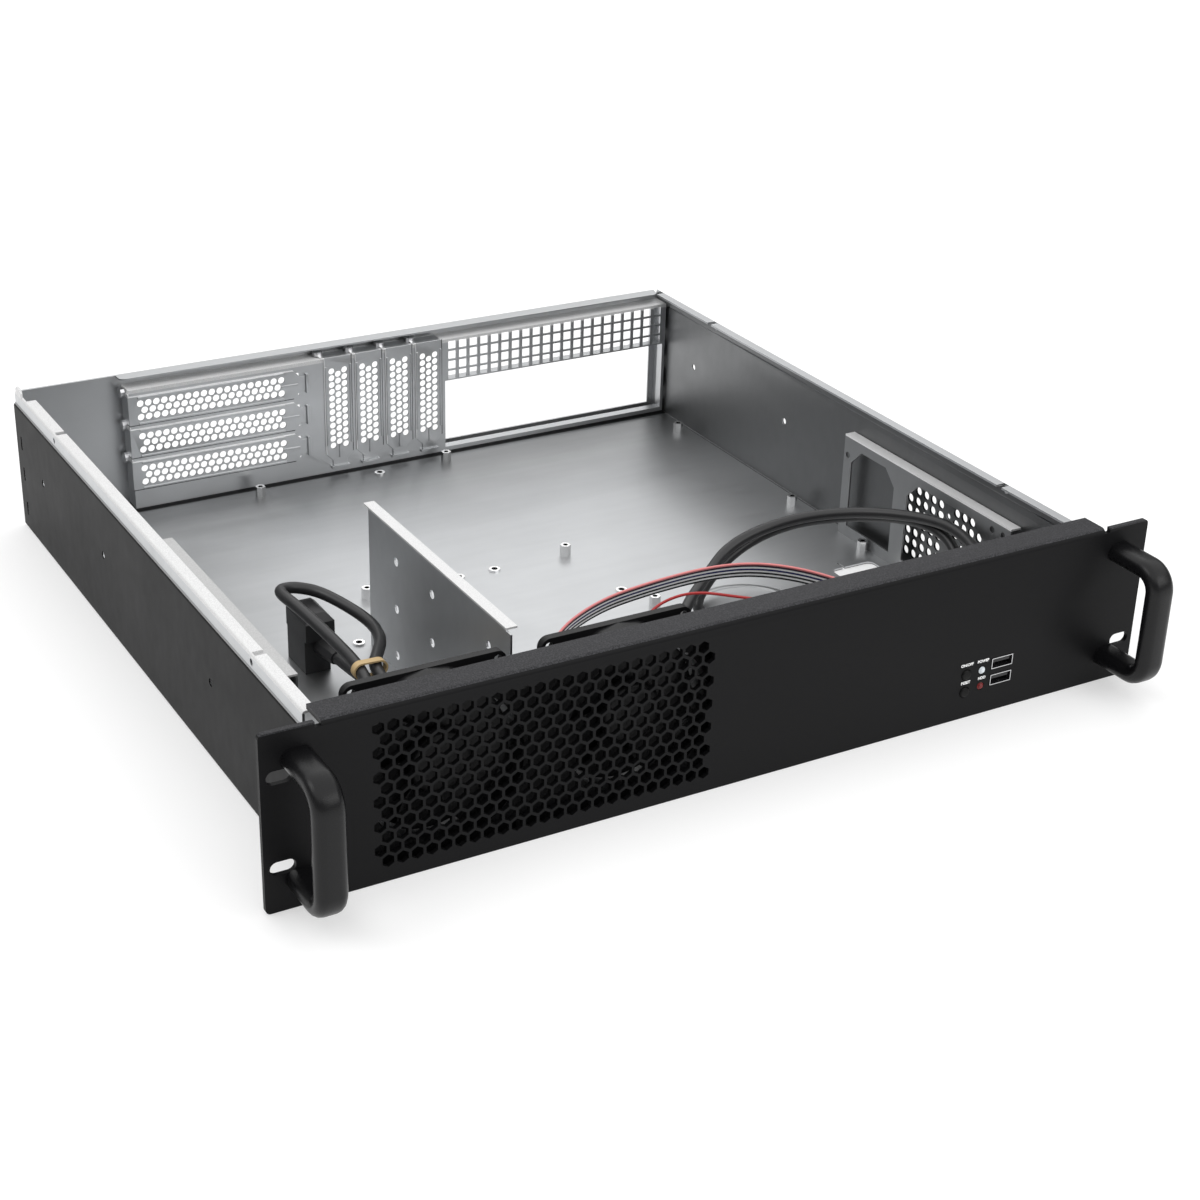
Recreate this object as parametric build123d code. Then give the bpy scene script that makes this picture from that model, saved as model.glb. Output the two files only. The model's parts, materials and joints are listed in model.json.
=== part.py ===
from build123d import *

import math
import os

# Empty rackmount server case, two rack units high, lid off.
# Drawn from the underside (Z = 0) and the panel's front face (Y = 0), with X = 0 at mid width.
# Each node is then carried to the origin: the centre of the rack slots, on the back of the ears.

# Panel and rack slots
panel_width = 482.6
panel_height = 88.1
panel_sheet = 2.5
panel_corner = 2.5
return_depth = 16.0
return_half_width = 213.0
relief_width = 3.0
slot_spacing_x = 465.1
slot_spacing_z = 44.45
slot_length = 12.0
slot_width = 6.6
bend_inside = 0.6

# Hexagon grille
grille_columns = 24
grille_rows = 12
grille_pitch = 7.05
grille_flats = 5.6
grille_centre_x = -104.6

# Handles
handle_x = 224.2
handle_leg_spacing = 59.0
handle_reach = 36.0
handle_bar_width = 15.0
handle_bar_depth = 9.6
handle_bend = 10.5
handle_edge_steps = 8
handle_screw = 4.0
handle_screw_depth = 12.0
screw_fit = 0.05
clearance_hole = 0.3
small_sides = 8
head_sides = 10

# Tray
body_width = 430.0
body_depth = 436.0
sheet = 1.2
wall_top = 83.0
joggle_height = 75.0
joggle_rise = 1.4
lip_width = 6.5
band_start = 19.0
lip_notch_width = 4.0
front_flange = 14.0
front_flange_height = 70.0
stud_diameter = 4.0
stud_length = 8.0
stud_inset = 8.0
stud_heights = (16.0, 60.0)
nut_flats = 7.0
nut_height = 3.2
ear_width = 10.0
ear_top = 87.0
ear_hole = 3.0
ear_hole_z = 80.6

# Holes in the side walls
rail_hole = 4.2
rail_hole_z = 44.0
rail_hole_y = (128.5, 284.5, 389.0)
lid_hole = 3.2
lid_hole_z = 79.3
lid_hole_y = (76.5, 363.0)
rear_slot_y = 427.0
rear_slot_z = (13.8, 35.2, 54.2)
rear_slot_height = 8.0
rear_slot_width = 2.4
wall_screw_hole = 3.4
wall_screw_y = 122.4
wall_screw_z = 45.6

# Opening in the floor at the front right
floor_opening_x = (172.0, 200.0)
floor_opening_y = (128.0, 170.0)
floor_opening_corner = 4.0
floor_slit_width = 1.6
floor_slit_length = 8.0
floor_slit_x = 181.0

# Board mounting points: three columns and the rows of the usual board outlines
board_column_right = 203.6
board_column_step = 157.48
board_column_step_left = 124.46
small_board_step = 203.2
board_row_rear = 411.0
board_row_step = 154.94
board_row_front_step = 72.39
board_row_right_offset = 22.86
extra_spacer = (58.0, 176.0)
spacer_flats = 5.4
spacer_height = 6.4
spacer_bore = 2.7
floor_nut_outer = 6.6
floor_nut_height = 1.0
floor_nut_bore = 3.4
floor_nut_extra = ((-22.0, 256.1), (-104.5, 208.5), (51.4, 200.9))

# Rear panel and the inset bracket for the cards
rear_flange = 7.5
rear_flange_left = -155.0
rear_flange_right = 209.0
rear_flange_corner = 4.0
rear_sill = 4.0
rear_plate_right = -151.0
rear_corner = 3.0
bracket_sheet = 1.0
bracket_inset = 12.0
bracket_left = -152.0
bracket_shelf_z = 77.0
bracket_right_return = 10.0
io_width = 158.75
io_height = 44.45
io_left = 51.7
io_bottom = 5.2
io_return = 5.0
mesh_square = 5.3
mesh_pitch_x = 7.45
mesh_pitch_z = 6.5
mesh_columns = 21
mesh_rows = 4
mesh_top = 75.4

# Card slots and their covers
card_pitch = 20.32
card_slot_width = 14.0
upright_count = 4
upright_first_x = -20.9
flat_count = 3
flat_top_z = 64.0
flat_left = -147.5
flat_right = -46.0
upright_bottom_z = 14.0
upright_top_z = 71.0
cover_width = 18.4
cover_sheet = 0.8
cover_tab = 10.0
cover_tab_gap = 0.7
cover_shoulder = 6.0
cover_tongue = 9.6
flat_cover_length = 113.0
upright_cover_bottom = 4.6
cover_rib_width = 1.2
cover_rib_height = 0.6
cover_rib_start = 6.0
cover_screw = 3.0
cover_screw_head = 6.4
cover_screw_head_height = 2.4
cover_screw_length = 6.0
cover_screw_play = 0.3
bridge_gap = 0.2
bridge_sheet = 1.0
bridge_rise = 1.6
bridge_foot = 1.0

# Drive bay
drive_bay_left = -201.5
drive_bay_right = -99.1
drive_front = 53.0
drive_rear = 211.0
drive_plate_rear = 205.0
drive_plate_front = 48.5
drive_left_top = 81.8
divider_top = 80.2
divider_flange = 6.0
divider_step = 1.4
drive_hole = 4.6
drive_hole_rows = (10.0, 36.6, 63.2)
drive_hole_columns = (70.4, 130.7, 172.0)
foot_width = 9.0
rivet_head = 6.0
rivet_head_height = 1.2

# Power supply bracket, along the right wall
supply_plate_x = 206.9
supply_rear = 212.5
supply_length = 150.0
supply_top = 63.4
supply_window_top = 57.0
supply_window_bottom = 8.0
supply_window_gap = 12.0
supply_window_chamfer = 9.0
supply_rear_post = 7.5
supply_front_post = 22.0
supply_corner_inset = 6.0
supply_rear_share = 0.38
supply_hole = 3.6

# Front bulkhead and fans
bulkhead_front = 8.3
bulkhead_top = 84.0
bulkhead_flange = 5.8
fan_size = 80.0
fan_depth = 25.0
fan_centre_x = (-150.5, -53.0)
fan_centre_z = 42.9
fan_bore = 76.0
fan_corner = 5.0
fan_flange = 4.0
fan_barrel_wall = 1.6
fan_hole_spacing = 71.5
fan_hole = 4.3
fan_sides = 24
fan_hub = 31.0
fan_spider_width = 6.0
fan_spider_depth = 3.0
fan_motor = 22.0
fan_motor_depth = 6.0
fan_axle = 3.0
fan_axle_play = 0.05
fan_rotor_gap = 0.6
fan_rotor_length = 17.0
fan_rotor_wall = 1.4
fan_blade_count = 7
fan_blade_tip_gap = 1.2
fan_blade_thickness = 1.2
fan_blade_pitch = 38.0
fan_blade_chord = 18.0
fan_blade_rise = 2.0
fan_screw = 3.8
fan_screw_head = 6.5
fan_screw_head_height = 2.0
fan_screw_length = 4.4

# Controls on the front panel, mounted on one small board
control_row_x = 132.2
button_z = (24.8, 15.0)
button_diameter = 5.6
button_rim = 7.6
button_rim_sheet = 0.8
button_play = 0.3
button_travel = 1.0
button_proud = 0.8
lamp_x = 142.2
lamp_z = (25.0, 16.1)
lamp_diameter = 3.0
lamp_rim = 4.0
lamp_proud = 1.0
lamp_play = 0.2
port_x = 154.6
port_z = (27.2, 18.0)
port_width = 13.2
port_height = 5.8
port_wall = 0.4
port_depth = 11.5
port_tongue = 1.9
port_play = 0.3
port_proud = 0.3
control_board_y = 12.2
control_board_sheet = 1.6
control_board_x = (125.0, 164.0)
control_board_z = (7.0, 34.0)
switch_body = 6.0
switch_plunger = 3.4
switch_plunger_length = 1.6
header_size = (7.0, 9.0, 13.0)
header_x = 140.0
header_z = 27.4
spacer_x = (127.6, 161.2)
spacer_z = 9.4
spacer_post = 4.6

# Mains lead, with a plug at each end and a tie round its loop
lead_diameter = 6.2
left_plug_x = (-143.0, -127.0)
left_plug_y = (187.0, 213.0)
left_plug_step = 20.0
left_plug_top = 34.0
left_plug_inset = 2.0
left_plug_shoulder = 4.0
relief_base = 10.5
relief_tip = 8.0
relief_length = 16.0
right_plug_width = 27.0
right_plug_length = 34.0
right_plug_height = 23.5
right_relief_length = 12.0
tie_centre = (-138.3, 119.0, 37.35)
tie_inner = (16.2, 7.0)
tie_tilt = 2.0
tie_width = 4.0
tie_wall = 0.9

# Ribbon and single wire of the controls
ribbon_width = 10.4
ribbon_thickness = 1.3
ribbon_slope_x = 0.150
ribbon_slope_y = 0.375
ribbon_level = 50.0
ribbon_level_at = (81.0, 107.0)
ribbon_bite = 0.8
wire_diameter = 1.6
ribbon_plug_size = (6.0, 12.0, 12.0)
wire_plug_size = (5.0, 12.0, 4.0)

# Derived planes
half_body = body_width / 2
inner_wall = half_body - sheet
slot_mid_z = panel_height / 2
rear_inside = body_depth - sheet
bracket_back = body_depth - bracket_inset
bracket_front = bracket_back - bracket_sheet
cover_front = bracket_front - cover_sheet
tab_screw_y = (bracket_back + rear_inside) / 2
cover_screw_offset = card_pitch / 2
band_outside = half_body - sheet
band_inside = band_outside - sheet
fan_front = bulkhead_front + sheet
fan_rear = fan_front + fan_depth
supply_front = supply_rear - supply_length
rim_front = panel_sheet + button_play
leg_z = (slot_mid_z - handle_leg_spacing / 2, slot_mid_z + handle_leg_spacing / 2)
upright_x = [upright_first_x + i * card_pitch for i in range(upright_count)]
flat_z = [flat_top_z - i * card_pitch for i in range(flat_count)]
small_radius = 0.4


# Drawing helpers


def block(x0, x1, y0, y1, z0, z1):
    """Rectangular solid between two opposite corners."""
    centre = Pos((x0 + x1) / 2, (y0 + y1) / 2, (z0 + z1) / 2)
    return centre * Box(x1 - x0, y1 - y0, z1 - z0)


def upright(sketch, y0, y1):
    """Sketch drawn in X and Z, made solid from y0 to y1."""
    return Pos(0, y1, 0) * extrude(Plane.XZ * sketch, amount=y1 - y0)


def sideways(sketch, x0, x1):
    """Sketch drawn in Y and Z, made solid from x0 to x1."""
    return Pos(x0, 0, 0) * extrude(Plane.YZ * sketch, amount=x1 - x0)


def flat(sketch, z0, z1):
    """Sketch drawn in X and Y, made solid from z0 to z1."""
    return Pos(0, 0, z0) * extrude(sketch, amount=z1 - z0)


def peg(diameter, sides=small_sides):
    """Section of a small pin: its corners lie on the circle."""
    return RegularPolygon(diameter / 2, sides)


def eye(diameter, sides=small_sides):
    """Section of a small hole: its sides touch the circle."""
    return RegularPolygon(diameter / 2, sides, major_radius=False)


def hexagon(flats):
    """Hexagon with a point upwards, by its width across flats."""
    return RegularPolygon(flats / 2, 6, major_radius=False, rotation=30)


def bent_sheet(points, thickness, inside_radius):
    """Section of a folded sheet: the outer skin follows the points, the sheet lies to their left."""
    steps = [(b[0] - a[0], b[1] - a[1]) for a, b in zip(points, points[1:])]
    units = [(u / math.hypot(u, v), v / math.hypot(u, v)) for u, v in steps]
    normals = [(-v, u) for u, v in units]
    inner = [(points[0][0] + thickness * normals[0][0], points[0][1] + thickness * normals[0][1])]
    outer_radii = []
    inner_radii = []
    for before, after, n0, n1, corner in zip(units, units[1:], normals, normals[1:], points[1:]):
        spread = thickness / (1 + n0[0] * n1[0] + n0[1] * n1[1])
        inner.append((corner[0] + spread * (n0[0] + n1[0]), corner[1] + spread * (n0[1] + n1[1])))
        left_turn = before[0] * after[1] - before[1] * after[0] > 0
        outer_radii.append(inside_radius + (thickness if left_turn else 0))
        inner_radii.append(inside_radius + (0 if left_turn else thickness))
    inner.append((points[-1][0] + thickness * normals[-1][0], points[-1][1] + thickness * normals[-1][1]))
    outer_line = FilletPolyline(*points, radius=outer_radii)
    inner_line = FilletPolyline(*inner, radius=inner_radii)
    start_edge = Line(inner[0], points[0])
    end_edge = Line(points[-1], inner[-1])
    return make_face([*outer_line.edges(), end_edge, *inner_line.edges(), start_edge])


def screw(head_diameter, head_height, shank_diameter, shank_length):
    """Screw with its head above Z = 0 and its shank below."""
    head = flat(peg(head_diameter, head_sides), 0, head_height)
    return head + flat(peg(shank_diameter), -shank_length, 0)


# Front panel and handles


def grille_holes():
    """Staggered rows of hexagons in front of the fans."""
    row_pitch = grille_pitch * math.sqrt(3) / 2
    left = grille_centre_x - (grille_columns - 0.5) * grille_pitch / 2
    top = slot_mid_z + (grille_rows - 1) * row_pitch / 2
    holes = []
    for row in range(grille_rows):
        shift = grille_pitch / 2 if row % 2 else 0
        for column in range(grille_columns):
            place = Pos(left + shift + column * grille_pitch, top - row * row_pitch)
            holes.append(place * hexagon(grille_flats))
    return holes


def rack_slots():
    """Four rounded slots, two in each ear."""
    places = GridLocations(slot_spacing_x, slot_spacing_z, 2, 2)
    return [Pos(0, slot_mid_z) * place * SlotOverall(slot_length, slot_width) for place in places]


def control_openings():
    """Windows for the buttons, lamps and ports."""
    openings = [Pos(control_row_x, z) * Circle(button_diameter / 2 + button_play) for z in button_z]
    openings += [Pos(lamp_x, z) * eye(lamp_rim + 2 * lamp_play, head_sides) for z in lamp_z]
    width = port_width + 2 * port_play
    height = port_height + 2 * port_play
    openings += [Pos(port_x, z) * Rectangle(width, height) for z in port_z]
    return openings


def stud_places():
    """Panel studs that carry the tray's front flanges, as X and Z."""
    across = inner_wall - front_flange + stud_inset
    return [(side * across, z) for side in (-1, 1) for z in stud_heights]


def front_panel():
    """Plate with ears, slots and grille, its top edge folded back over the tray."""
    outline = Pos(0, slot_mid_z) * RectangleRounded(panel_width, panel_height, panel_corner)
    screw_holes = [
        Pos(side * handle_x, z) * eye(handle_screw + 2 * clearance_hole) for side in (-1, 1) for z in leg_z
    ]
    plate = upright(outline - grille_holes() - rack_slots() - control_openings() - screw_holes, 0, panel_sheet)
    low = panel_height - 2 * panel_sheet
    half = return_half_width
    fold = bent_sheet(
        [(return_depth, panel_height), (0, panel_height), (0, low)], panel_sheet, bend_inside
    )
    panel = plate - block(-half, half, 0, panel_sheet, low, panel_height) + sideways(fold, -half, half)
    for side in (-1, 1):
        x0, x1 = sorted((side * half, side * (half + relief_width)))
        panel -= block(x0, x1, 0, panel_sheet, panel_height - panel_sheet, panel_height)
    studs = Sketch() + [Pos(x, z) * peg(stud_diameter) for x, z in stud_places()]
    return panel + upright(studs, panel_sheet, panel_sheet + stud_length)


def panel_nuts():
    """Hexagon nuts on the panel's studs."""
    y0 = panel_sheet + sheet
    ring = hexagon(nut_flats) - eye(stud_diameter + 2 * screw_fit)
    return [Pos(x, 0, z) * upright(ring, y0, y0 + nut_height) for x, z in stud_places()]


def handle_section():
    """Flat bar with rounded edges, its curves drawn as short straight steps."""
    radius = handle_bar_depth / 2
    reach = handle_bar_width / 2 - radius
    points = []
    for end in (0, 1):
        for i in range(handle_edge_steps + 1):
            angle = math.pi * (end - 0.5 + i / handle_edge_steps)
            points.append(((1 - 2 * end) * reach + radius * math.cos(angle), radius * math.sin(angle)))
    return make_face(Polyline(*points, close=True))


def handle(side):
    """Flat bar bent to a U, with a blind hole up each leg."""
    bar_y = -(handle_reach - handle_bar_depth / 2)
    x = side * handle_x
    corners = [(x, 0, leg_z[1]), (x, bar_y, leg_z[1]), (x, bar_y, leg_z[0]), (x, 0, leg_z[0])]
    path = FilletPolyline(*corners, radius=handle_bend)
    start = Plane(origin=corners[0], x_dir=(1, 0, 0), z_dir=(0, -1, 0))
    bar = sweep(start * handle_section(), path=path)
    holes = Sketch() + [Pos(x, z) * eye(handle_screw + 2 * screw_fit) for z in leg_z]
    return bar - upright(holes, -handle_screw_depth, 0)


def handle_screws():
    """Screws through the ears into the handles' legs."""
    length = handle_screw_depth + panel_sheet - 1
    part = Rot(-90, 0, 0) * screw(2 * handle_screw, 0.6 * handle_screw, handle_screw, length)
    return [Pos(side * handle_x, panel_sheet, z) * part for side in (-1, 1) for z in leg_z]


# Tray


def tray_section():
    """Floor and both walls in one fold, with a joggle and a lip along each top edge."""
    right = [
        (half_body, 0),
        (half_body, joggle_height),
        (band_outside, joggle_height + joggle_rise),
        (band_outside, wall_top),
        (band_outside - lip_width, wall_top),
    ]
    left = [(-x, z) for x, z in reversed(right)]
    return bent_sheet(left + right, sheet, small_radius)


def wall_holes():
    """Holes shared by both side walls, as Y and Z."""
    holes = [Pos(y, rail_hole_z) * Circle(rail_hole / 2) for y in rail_hole_y]
    holes += [Pos(y, lid_hole_z) * eye(lid_hole) for y in lid_hole_y]
    holes += [Pos(rear_slot_y, z) * Rectangle(rear_slot_width, rear_slot_height) for z in rear_slot_z]
    return holes


def floor_opening():
    """Rounded opening at the front right, with a short slit behind it."""
    x0, x1 = floor_opening_x
    y0, y1 = floor_opening_y
    opening = Pos((x0 + x1) / 2, (y0 + y1) / 2) * RectangleRounded(x1 - x0, y1 - y0, floor_opening_corner)
    slit = Pos(floor_slit_x, y1 + floor_slit_length / 2 - 1) * Rectangle(floor_slit_width, floor_slit_length)
    return opening + slit


def wall_ear():
    """Small drilled ear that stands above the left wall's top edge at the rear."""
    y = rear_inside - ear_width / 2 - 1
    low = wall_top - 2 * sheet
    plate = Pos(y, (low + ear_top) / 2) * Rectangle(ear_width, ear_top - low)
    plate = chamfer(plate.vertices().group_by(Axis.Y)[-1], 2)
    return sideways(plate - Pos(y, ear_hole_z) * eye(ear_hole), -band_outside, -band_inside)


def base_tray():
    """Floor, side walls and front flanges of the case, folded from one sheet."""
    tray = upright(tray_section(), panel_sheet, body_depth)
    outer = half_body + 1
    lip_end = {-1: rear_inside - ear_width - 8, 1: rear_inside - rear_flange - 0.5}
    for side in (-1, 1):
        x0, x1 = sorted((side * (band_outside - lip_width - 1), side * outer))
        tray -= block(x0, x1, panel_sheet, band_start, joggle_height, wall_top + 1)
        x0, x1 = sorted((side * (inner_wall - front_flange), side * inner_wall))
        flange = block(x0, x1, panel_sheet, panel_sheet + sheet, 2 * sheet, front_flange_height)
        tray += flange
        x0, x1 = sorted((side * (band_outside - lip_width - 1), side * band_inside))
        tray -= block(x0, x1, lip_end[side], body_depth, wall_top - 2 * sheet, wall_top + 1)
        for y in lid_hole_y:
            half = lip_notch_width / 2
            tray -= block(x0, x1, y - half, y + half, wall_top - 2 * sheet, wall_top + 1)
        wall_x = sorted((side * (band_inside - 1), side * outer))
        tray -= sideways(Sketch() + wall_holes(), *wall_x)
    tray -= sideways(Pos(wall_screw_y, wall_screw_z) * eye(wall_screw_hole), inner_wall - 1, outer)
    tray -= flat(floor_opening(), -1, sheet + 1)
    stud_holes = Sketch() + [Pos(x, z) * eye(stud_diameter + 2 * clearance_hole) for x, z in stud_places()]
    tray -= upright(stud_holes, panel_sheet - 1, panel_sheet + sheet + 1)
    return tray + wall_ear()


# Board mounting points


def board_rows():
    """Depths of the rear, middle and front rows of board holes."""
    middle = board_row_rear - board_row_step
    return board_row_rear, middle, middle - board_row_front_step


def spacer_places():
    """Hexagon spacers that carry the main board."""
    right = board_column_right
    middle = right - board_column_step
    left = middle - board_column_step_left
    rear, mid, front = board_rows()
    return [
        (left, rear), (middle, rear), (right, rear - board_row_right_offset),
        (left, mid), (middle, mid), (right, mid), (right, front), extra_spacer,
    ]


def nut_places():
    """Low threaded nuts pressed into the floor for smaller boards."""
    rear, mid, front = board_rows()
    x = board_column_right - small_board_step
    return [(x, rear), (x, mid), *floor_nut_extra]


def board_spacers():
    """Hexagon spacers with a threaded bore."""
    stem = flat(hexagon(spacer_flats) - Circle(spacer_bore / 2), sheet, sheet + spacer_height)
    return [Pos(x, y, 0) * stem for x, y in spacer_places()]


def floor_nuts():
    """Rings of the press-in nuts."""
    section = peg(floor_nut_outer, head_sides) - eye(floor_nut_bore, small_sides)
    ring = flat(section, sheet, sheet + floor_nut_height)
    return [Pos(x, y, 0) * ring for x, y in nut_places()]


# Rear panel, card bracket and slot covers


def rear_panel():
    """Plain plate at the left, a long opening for the card bracket and a folded top edge."""
    step = joggle_height - small_radius
    wide = Pos(0, (sheet + step) / 2) * Rectangle(2 * inner_wall - 2 * small_radius, step - sheet)
    narrow = Pos(0, (step + wall_top) / 2) * Rectangle(2 * band_inside, wall_top - step)
    narrow = chamfer(narrow.vertices().group_by(Axis.Y)[-1], rear_corner)
    opening_right = band_inside - bracket_right_return / 2
    opening_top = bracket_shelf_z - bracket_sheet
    width = opening_right - rear_plate_right
    height = opening_top - sheet - rear_sill
    opening = Pos(rear_plate_right + width / 2, opening_top - height / 2) * Rectangle(width, height)
    plate = upright(wide + narrow - opening, rear_inside, body_depth)
    length = rear_flange_right - rear_flange_left
    flange = Pos(rear_flange_left + length / 2, rear_inside - rear_flange / 2) * Rectangle(length, rear_flange)
    flange = fillet(flange.vertices().group_by(Axis.Y)[0], rear_flange_corner)
    return plate + flat(flange, wall_top - sheet, wall_top)


def mesh_squares():
    """Square holes above the connector window."""
    centre_x = io_left + io_width / 2
    centre_z = mesh_top - ((mesh_rows - 1) * mesh_pitch_z + mesh_square) / 2
    places = GridLocations(mesh_pitch_x, mesh_pitch_z, mesh_columns, mesh_rows)
    return [Pos(centre_x, centre_z) * place * Rectangle(mesh_square, mesh_square) for place in places]


def card_slots():
    """Openings behind the covers."""
    length = upright_top_z - upright_bottom_z
    middle = (upright_top_z + upright_bottom_z) / 2
    shapes = [Pos(x, middle) * Rectangle(card_slot_width, length) for x in upright_x]
    flat_length = flat_right - flat_left
    flat_mid = (flat_left + flat_right) / 2
    shapes += [Pos(flat_mid, z) * Rectangle(flat_length, card_slot_width) for z in flat_z]
    return shapes


def tongue_bridge():
    """Small bridge along X that holds a tongue against the wall, its mid at the origin."""
    half = cover_tongue / 2 + bridge_gap
    rear = -cover_sheet - bridge_gap
    front = rear - bridge_sheet
    bar = block(-half - bridge_foot, half + bridge_foot, front, rear, 0, bridge_rise)
    for x0 in (-half - bridge_foot, half):
        bar += block(x0, x0 + bridge_foot, rear, 0, 0, bridge_rise)
    return bar


def card_bracket():
    """Inset wall with the card slots, the mesh and the connector window, a shelf and side returns."""
    right = band_inside - bridge_gap
    top = bracket_shelf_z
    thick = bracket_sheet
    face = Pos((bracket_left + right) / 2, (sheet + top) / 2) * Rectangle(right - bracket_left, top - sheet)
    centre = Pos(io_left + io_width / 2, io_bottom + io_height / 2)
    window = centre * Rectangle(io_width, io_height)
    rim = centre * Rectangle(io_width + 2 * thick, io_height + 2 * thick) - window
    bracket = upright(face - mesh_squares() - card_slots() - window, bracket_front, bracket_back)
    bracket += upright(rim, bracket_back, bracket_back + io_return)
    bracket += block(bracket_left, right, bracket_front, rear_inside, top - thick, top)
    for x0 in (bracket_left, right - thick):
        bracket += block(x0, x0 + thick, bracket_front, rear_inside, sheet, top)
    bridge = tongue_bridge()
    for x in upright_x:
        bracket += Pos(x, bracket_front, upright_cover_bottom + bridge_rise / 2) * bridge
    tongue_end = bracket_left - cover_sheet + flat_cover_length
    for z in flat_z:
        bracket += Pos(tongue_end - bridge_rise / 2, bracket_front, z) * Rot(0, -90, 0) * bridge
    hole = eye(cover_screw + 2 * cover_screw_play)
    for x in upright_x:
        bracket -= flat(Pos(x - cover_screw_offset, tab_screw_y) * hole, top - 2, top + 1)
    for z in flat_z:
        bracket -= sideways(Pos(tab_screw_y, z + cover_screw_offset) * hole, bracket_left - 1, bracket_left + 2)
    return bracket


def slot_cover(length, notch_side):
    """Bent strip: face along +Y, tab folded up at the origin and notched for its screw, ribs in front."""
    half = cover_width / 2
    tongue = cover_tongue / 2
    taper = half - tongue
    shoulder = length - cover_shoulder - taper
    outline = [
        (-half, 0), (half, 0), (half, shoulder), (tongue, shoulder + taper),
        (tongue, length), (-tongue, length), (-tongue, shoulder + taper), (-half, shoulder),
    ]
    cover = flat(make_face(Polyline(*outline, close=True)), 0, cover_sheet)
    tab_far = notch_side * (card_pitch / 2 + cover_tab_gap)
    tab_near = -notch_side * (card_pitch / 2 - cover_screw / 2 - cover_screw_play)
    tab = block(*sorted((tab_far, tab_near)), 0, cover_sheet, 0, cover_tab)
    notch = Pos(notch_side * cover_screw_offset, tab_screw_y - cover_front) * eye(cover_screw + 2 * cover_screw_play)
    cover += tab - upright(notch, -1, cover_sheet + 1)
    rib_length = shoulder - 2 * cover_rib_start
    for x in (cover_rib_width - half, half - cover_rib_width):
        cover += Pos(x, shoulder / 2, -cover_rib_height / 2) * Box(cover_rib_width, rib_length, cover_rib_height)
    mid_rib = Pos(0, shoulder - cover_rib_start / 2, -cover_rib_height / 2)
    return cover + mid_rib * Box(cover_rib_width, 2 * cover_rib_start, cover_rib_height)


def upright_cover(x):
    """Cover hung from the shelf, its tongue behind the bridge near the floor."""
    top = bracket_shelf_z + cover_sheet
    place = Plane(origin=(x, cover_front, top), x_dir=(1, 0, 0), z_dir=(0, 1, 0))
    return place.location * slot_cover(top - upright_cover_bottom, -1)


def flat_cover(z):
    """Cover lying across, its tab on the bracket's left return."""
    place = Plane(origin=(bracket_left - cover_sheet, cover_front, z), x_dir=(0, 0, 1), z_dir=(0, 1, 0))
    return place.location * slot_cover(flat_cover_length, 1)


def slot_cover_screws():
    """One screw for each cover, in the notch of its tab."""
    part = screw(cover_screw_head, cover_screw_head_height, cover_screw, cover_screw_length)
    top = bracket_shelf_z + cover_sheet
    left = bracket_left - cover_sheet
    screws = [Pos(x - cover_screw_offset, tab_screw_y, top) * part for x in upright_x]
    return screws + [Pos(left, tab_screw_y, z + cover_screw_offset) * Rot(0, -90, 0) * part for z in flat_z]


# Drive bay and power supply brackets


def drive_plate(x0, front, top):
    """Side plate of the drive bay with the drives' screw holes."""
    length = drive_plate_rear - front
    face = Pos(front + length / 2, (sheet + top) / 2) * Rectangle(length, top - sheet)
    holes = [Pos(y, z) * eye(drive_hole) for y in drive_hole_columns for z in drive_hole_rows]
    return sideways(face - holes, x0, x0 + bracket_sheet)


def drive_bracket_left():
    """Channel open to the left wall: hung under its lip, with a foot on the floor."""
    x1 = drive_bay_left
    x0 = x1 - bracket_sheet
    low = drive_left_top - bracket_sheet
    bracket = drive_plate(x0, drive_front, drive_left_top)
    bracket += block(small_radius - band_inside, x1, drive_front, drive_rear, low, drive_left_top)
    return bracket + block(x0 - foot_width, x1, drive_front, drive_plate_rear, sheet, sheet + bracket_sheet)


def drive_divider():
    """Plate between drives and main board, with a folded top edge and a foot."""
    x0 = drive_bay_right
    x1 = x0 + bracket_sheet
    step = divider_top - divider_step
    divider = drive_plate(x0, drive_plate_front, step)
    divider += block(x0, x1, drive_front, drive_plate_rear, step - 1, divider_top)
    divider += block(x0, x0 + divider_flange, drive_front, drive_rear, divider_top - bracket_sheet, divider_top)
    return divider + block(x0, x1 + foot_width, drive_front, drive_plate_rear, sheet, sheet + bracket_sheet)


def supply_bracket():
    """Plate along the right wall: two tall windows, a top edge folded to the wall and a foot."""
    x0 = supply_plate_x
    x1 = x0 + bracket_sheet
    wall = inner_wall - small_radius
    face = Pos((supply_front + supply_rear) / 2, (sheet + supply_top) / 2) * Rectangle(
        supply_length, supply_top - sheet
    )
    clear = supply_length - supply_rear_post - supply_front_post - supply_window_gap
    rear_start = supply_rear - supply_rear_post - supply_rear_share * clear
    front_start = supply_front + supply_front_post
    spans = [(rear_start, supply_rear - supply_rear_post), (front_start, rear_start - supply_window_gap)]
    for y0, y1 in spans:
        window = Pos((y0 + y1) / 2, (supply_window_bottom + supply_window_top) / 2) * Rectangle(
            y1 - y0, supply_window_top - supply_window_bottom
        )
        face -= chamfer(window.vertices().group_by(Axis.Y)[-1], supply_window_chamfer)
    inset = supply_corner_inset
    face -= [Pos(supply_front + step * inset, supply_top - inset) * eye(supply_hole) for step in (1, 2.5)]
    face -= Pos(supply_rear - supply_rear_post / 2, supply_top - 2 * inset) * eye(supply_hole)
    bracket = sideways(face, x0, x1)
    bracket += block(x0, wall, supply_front, supply_rear, supply_top - bracket_sheet, supply_top)
    return bracket + block(x0, wall, supply_front, supply_rear, sheet, sheet + bracket_sheet)


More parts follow.
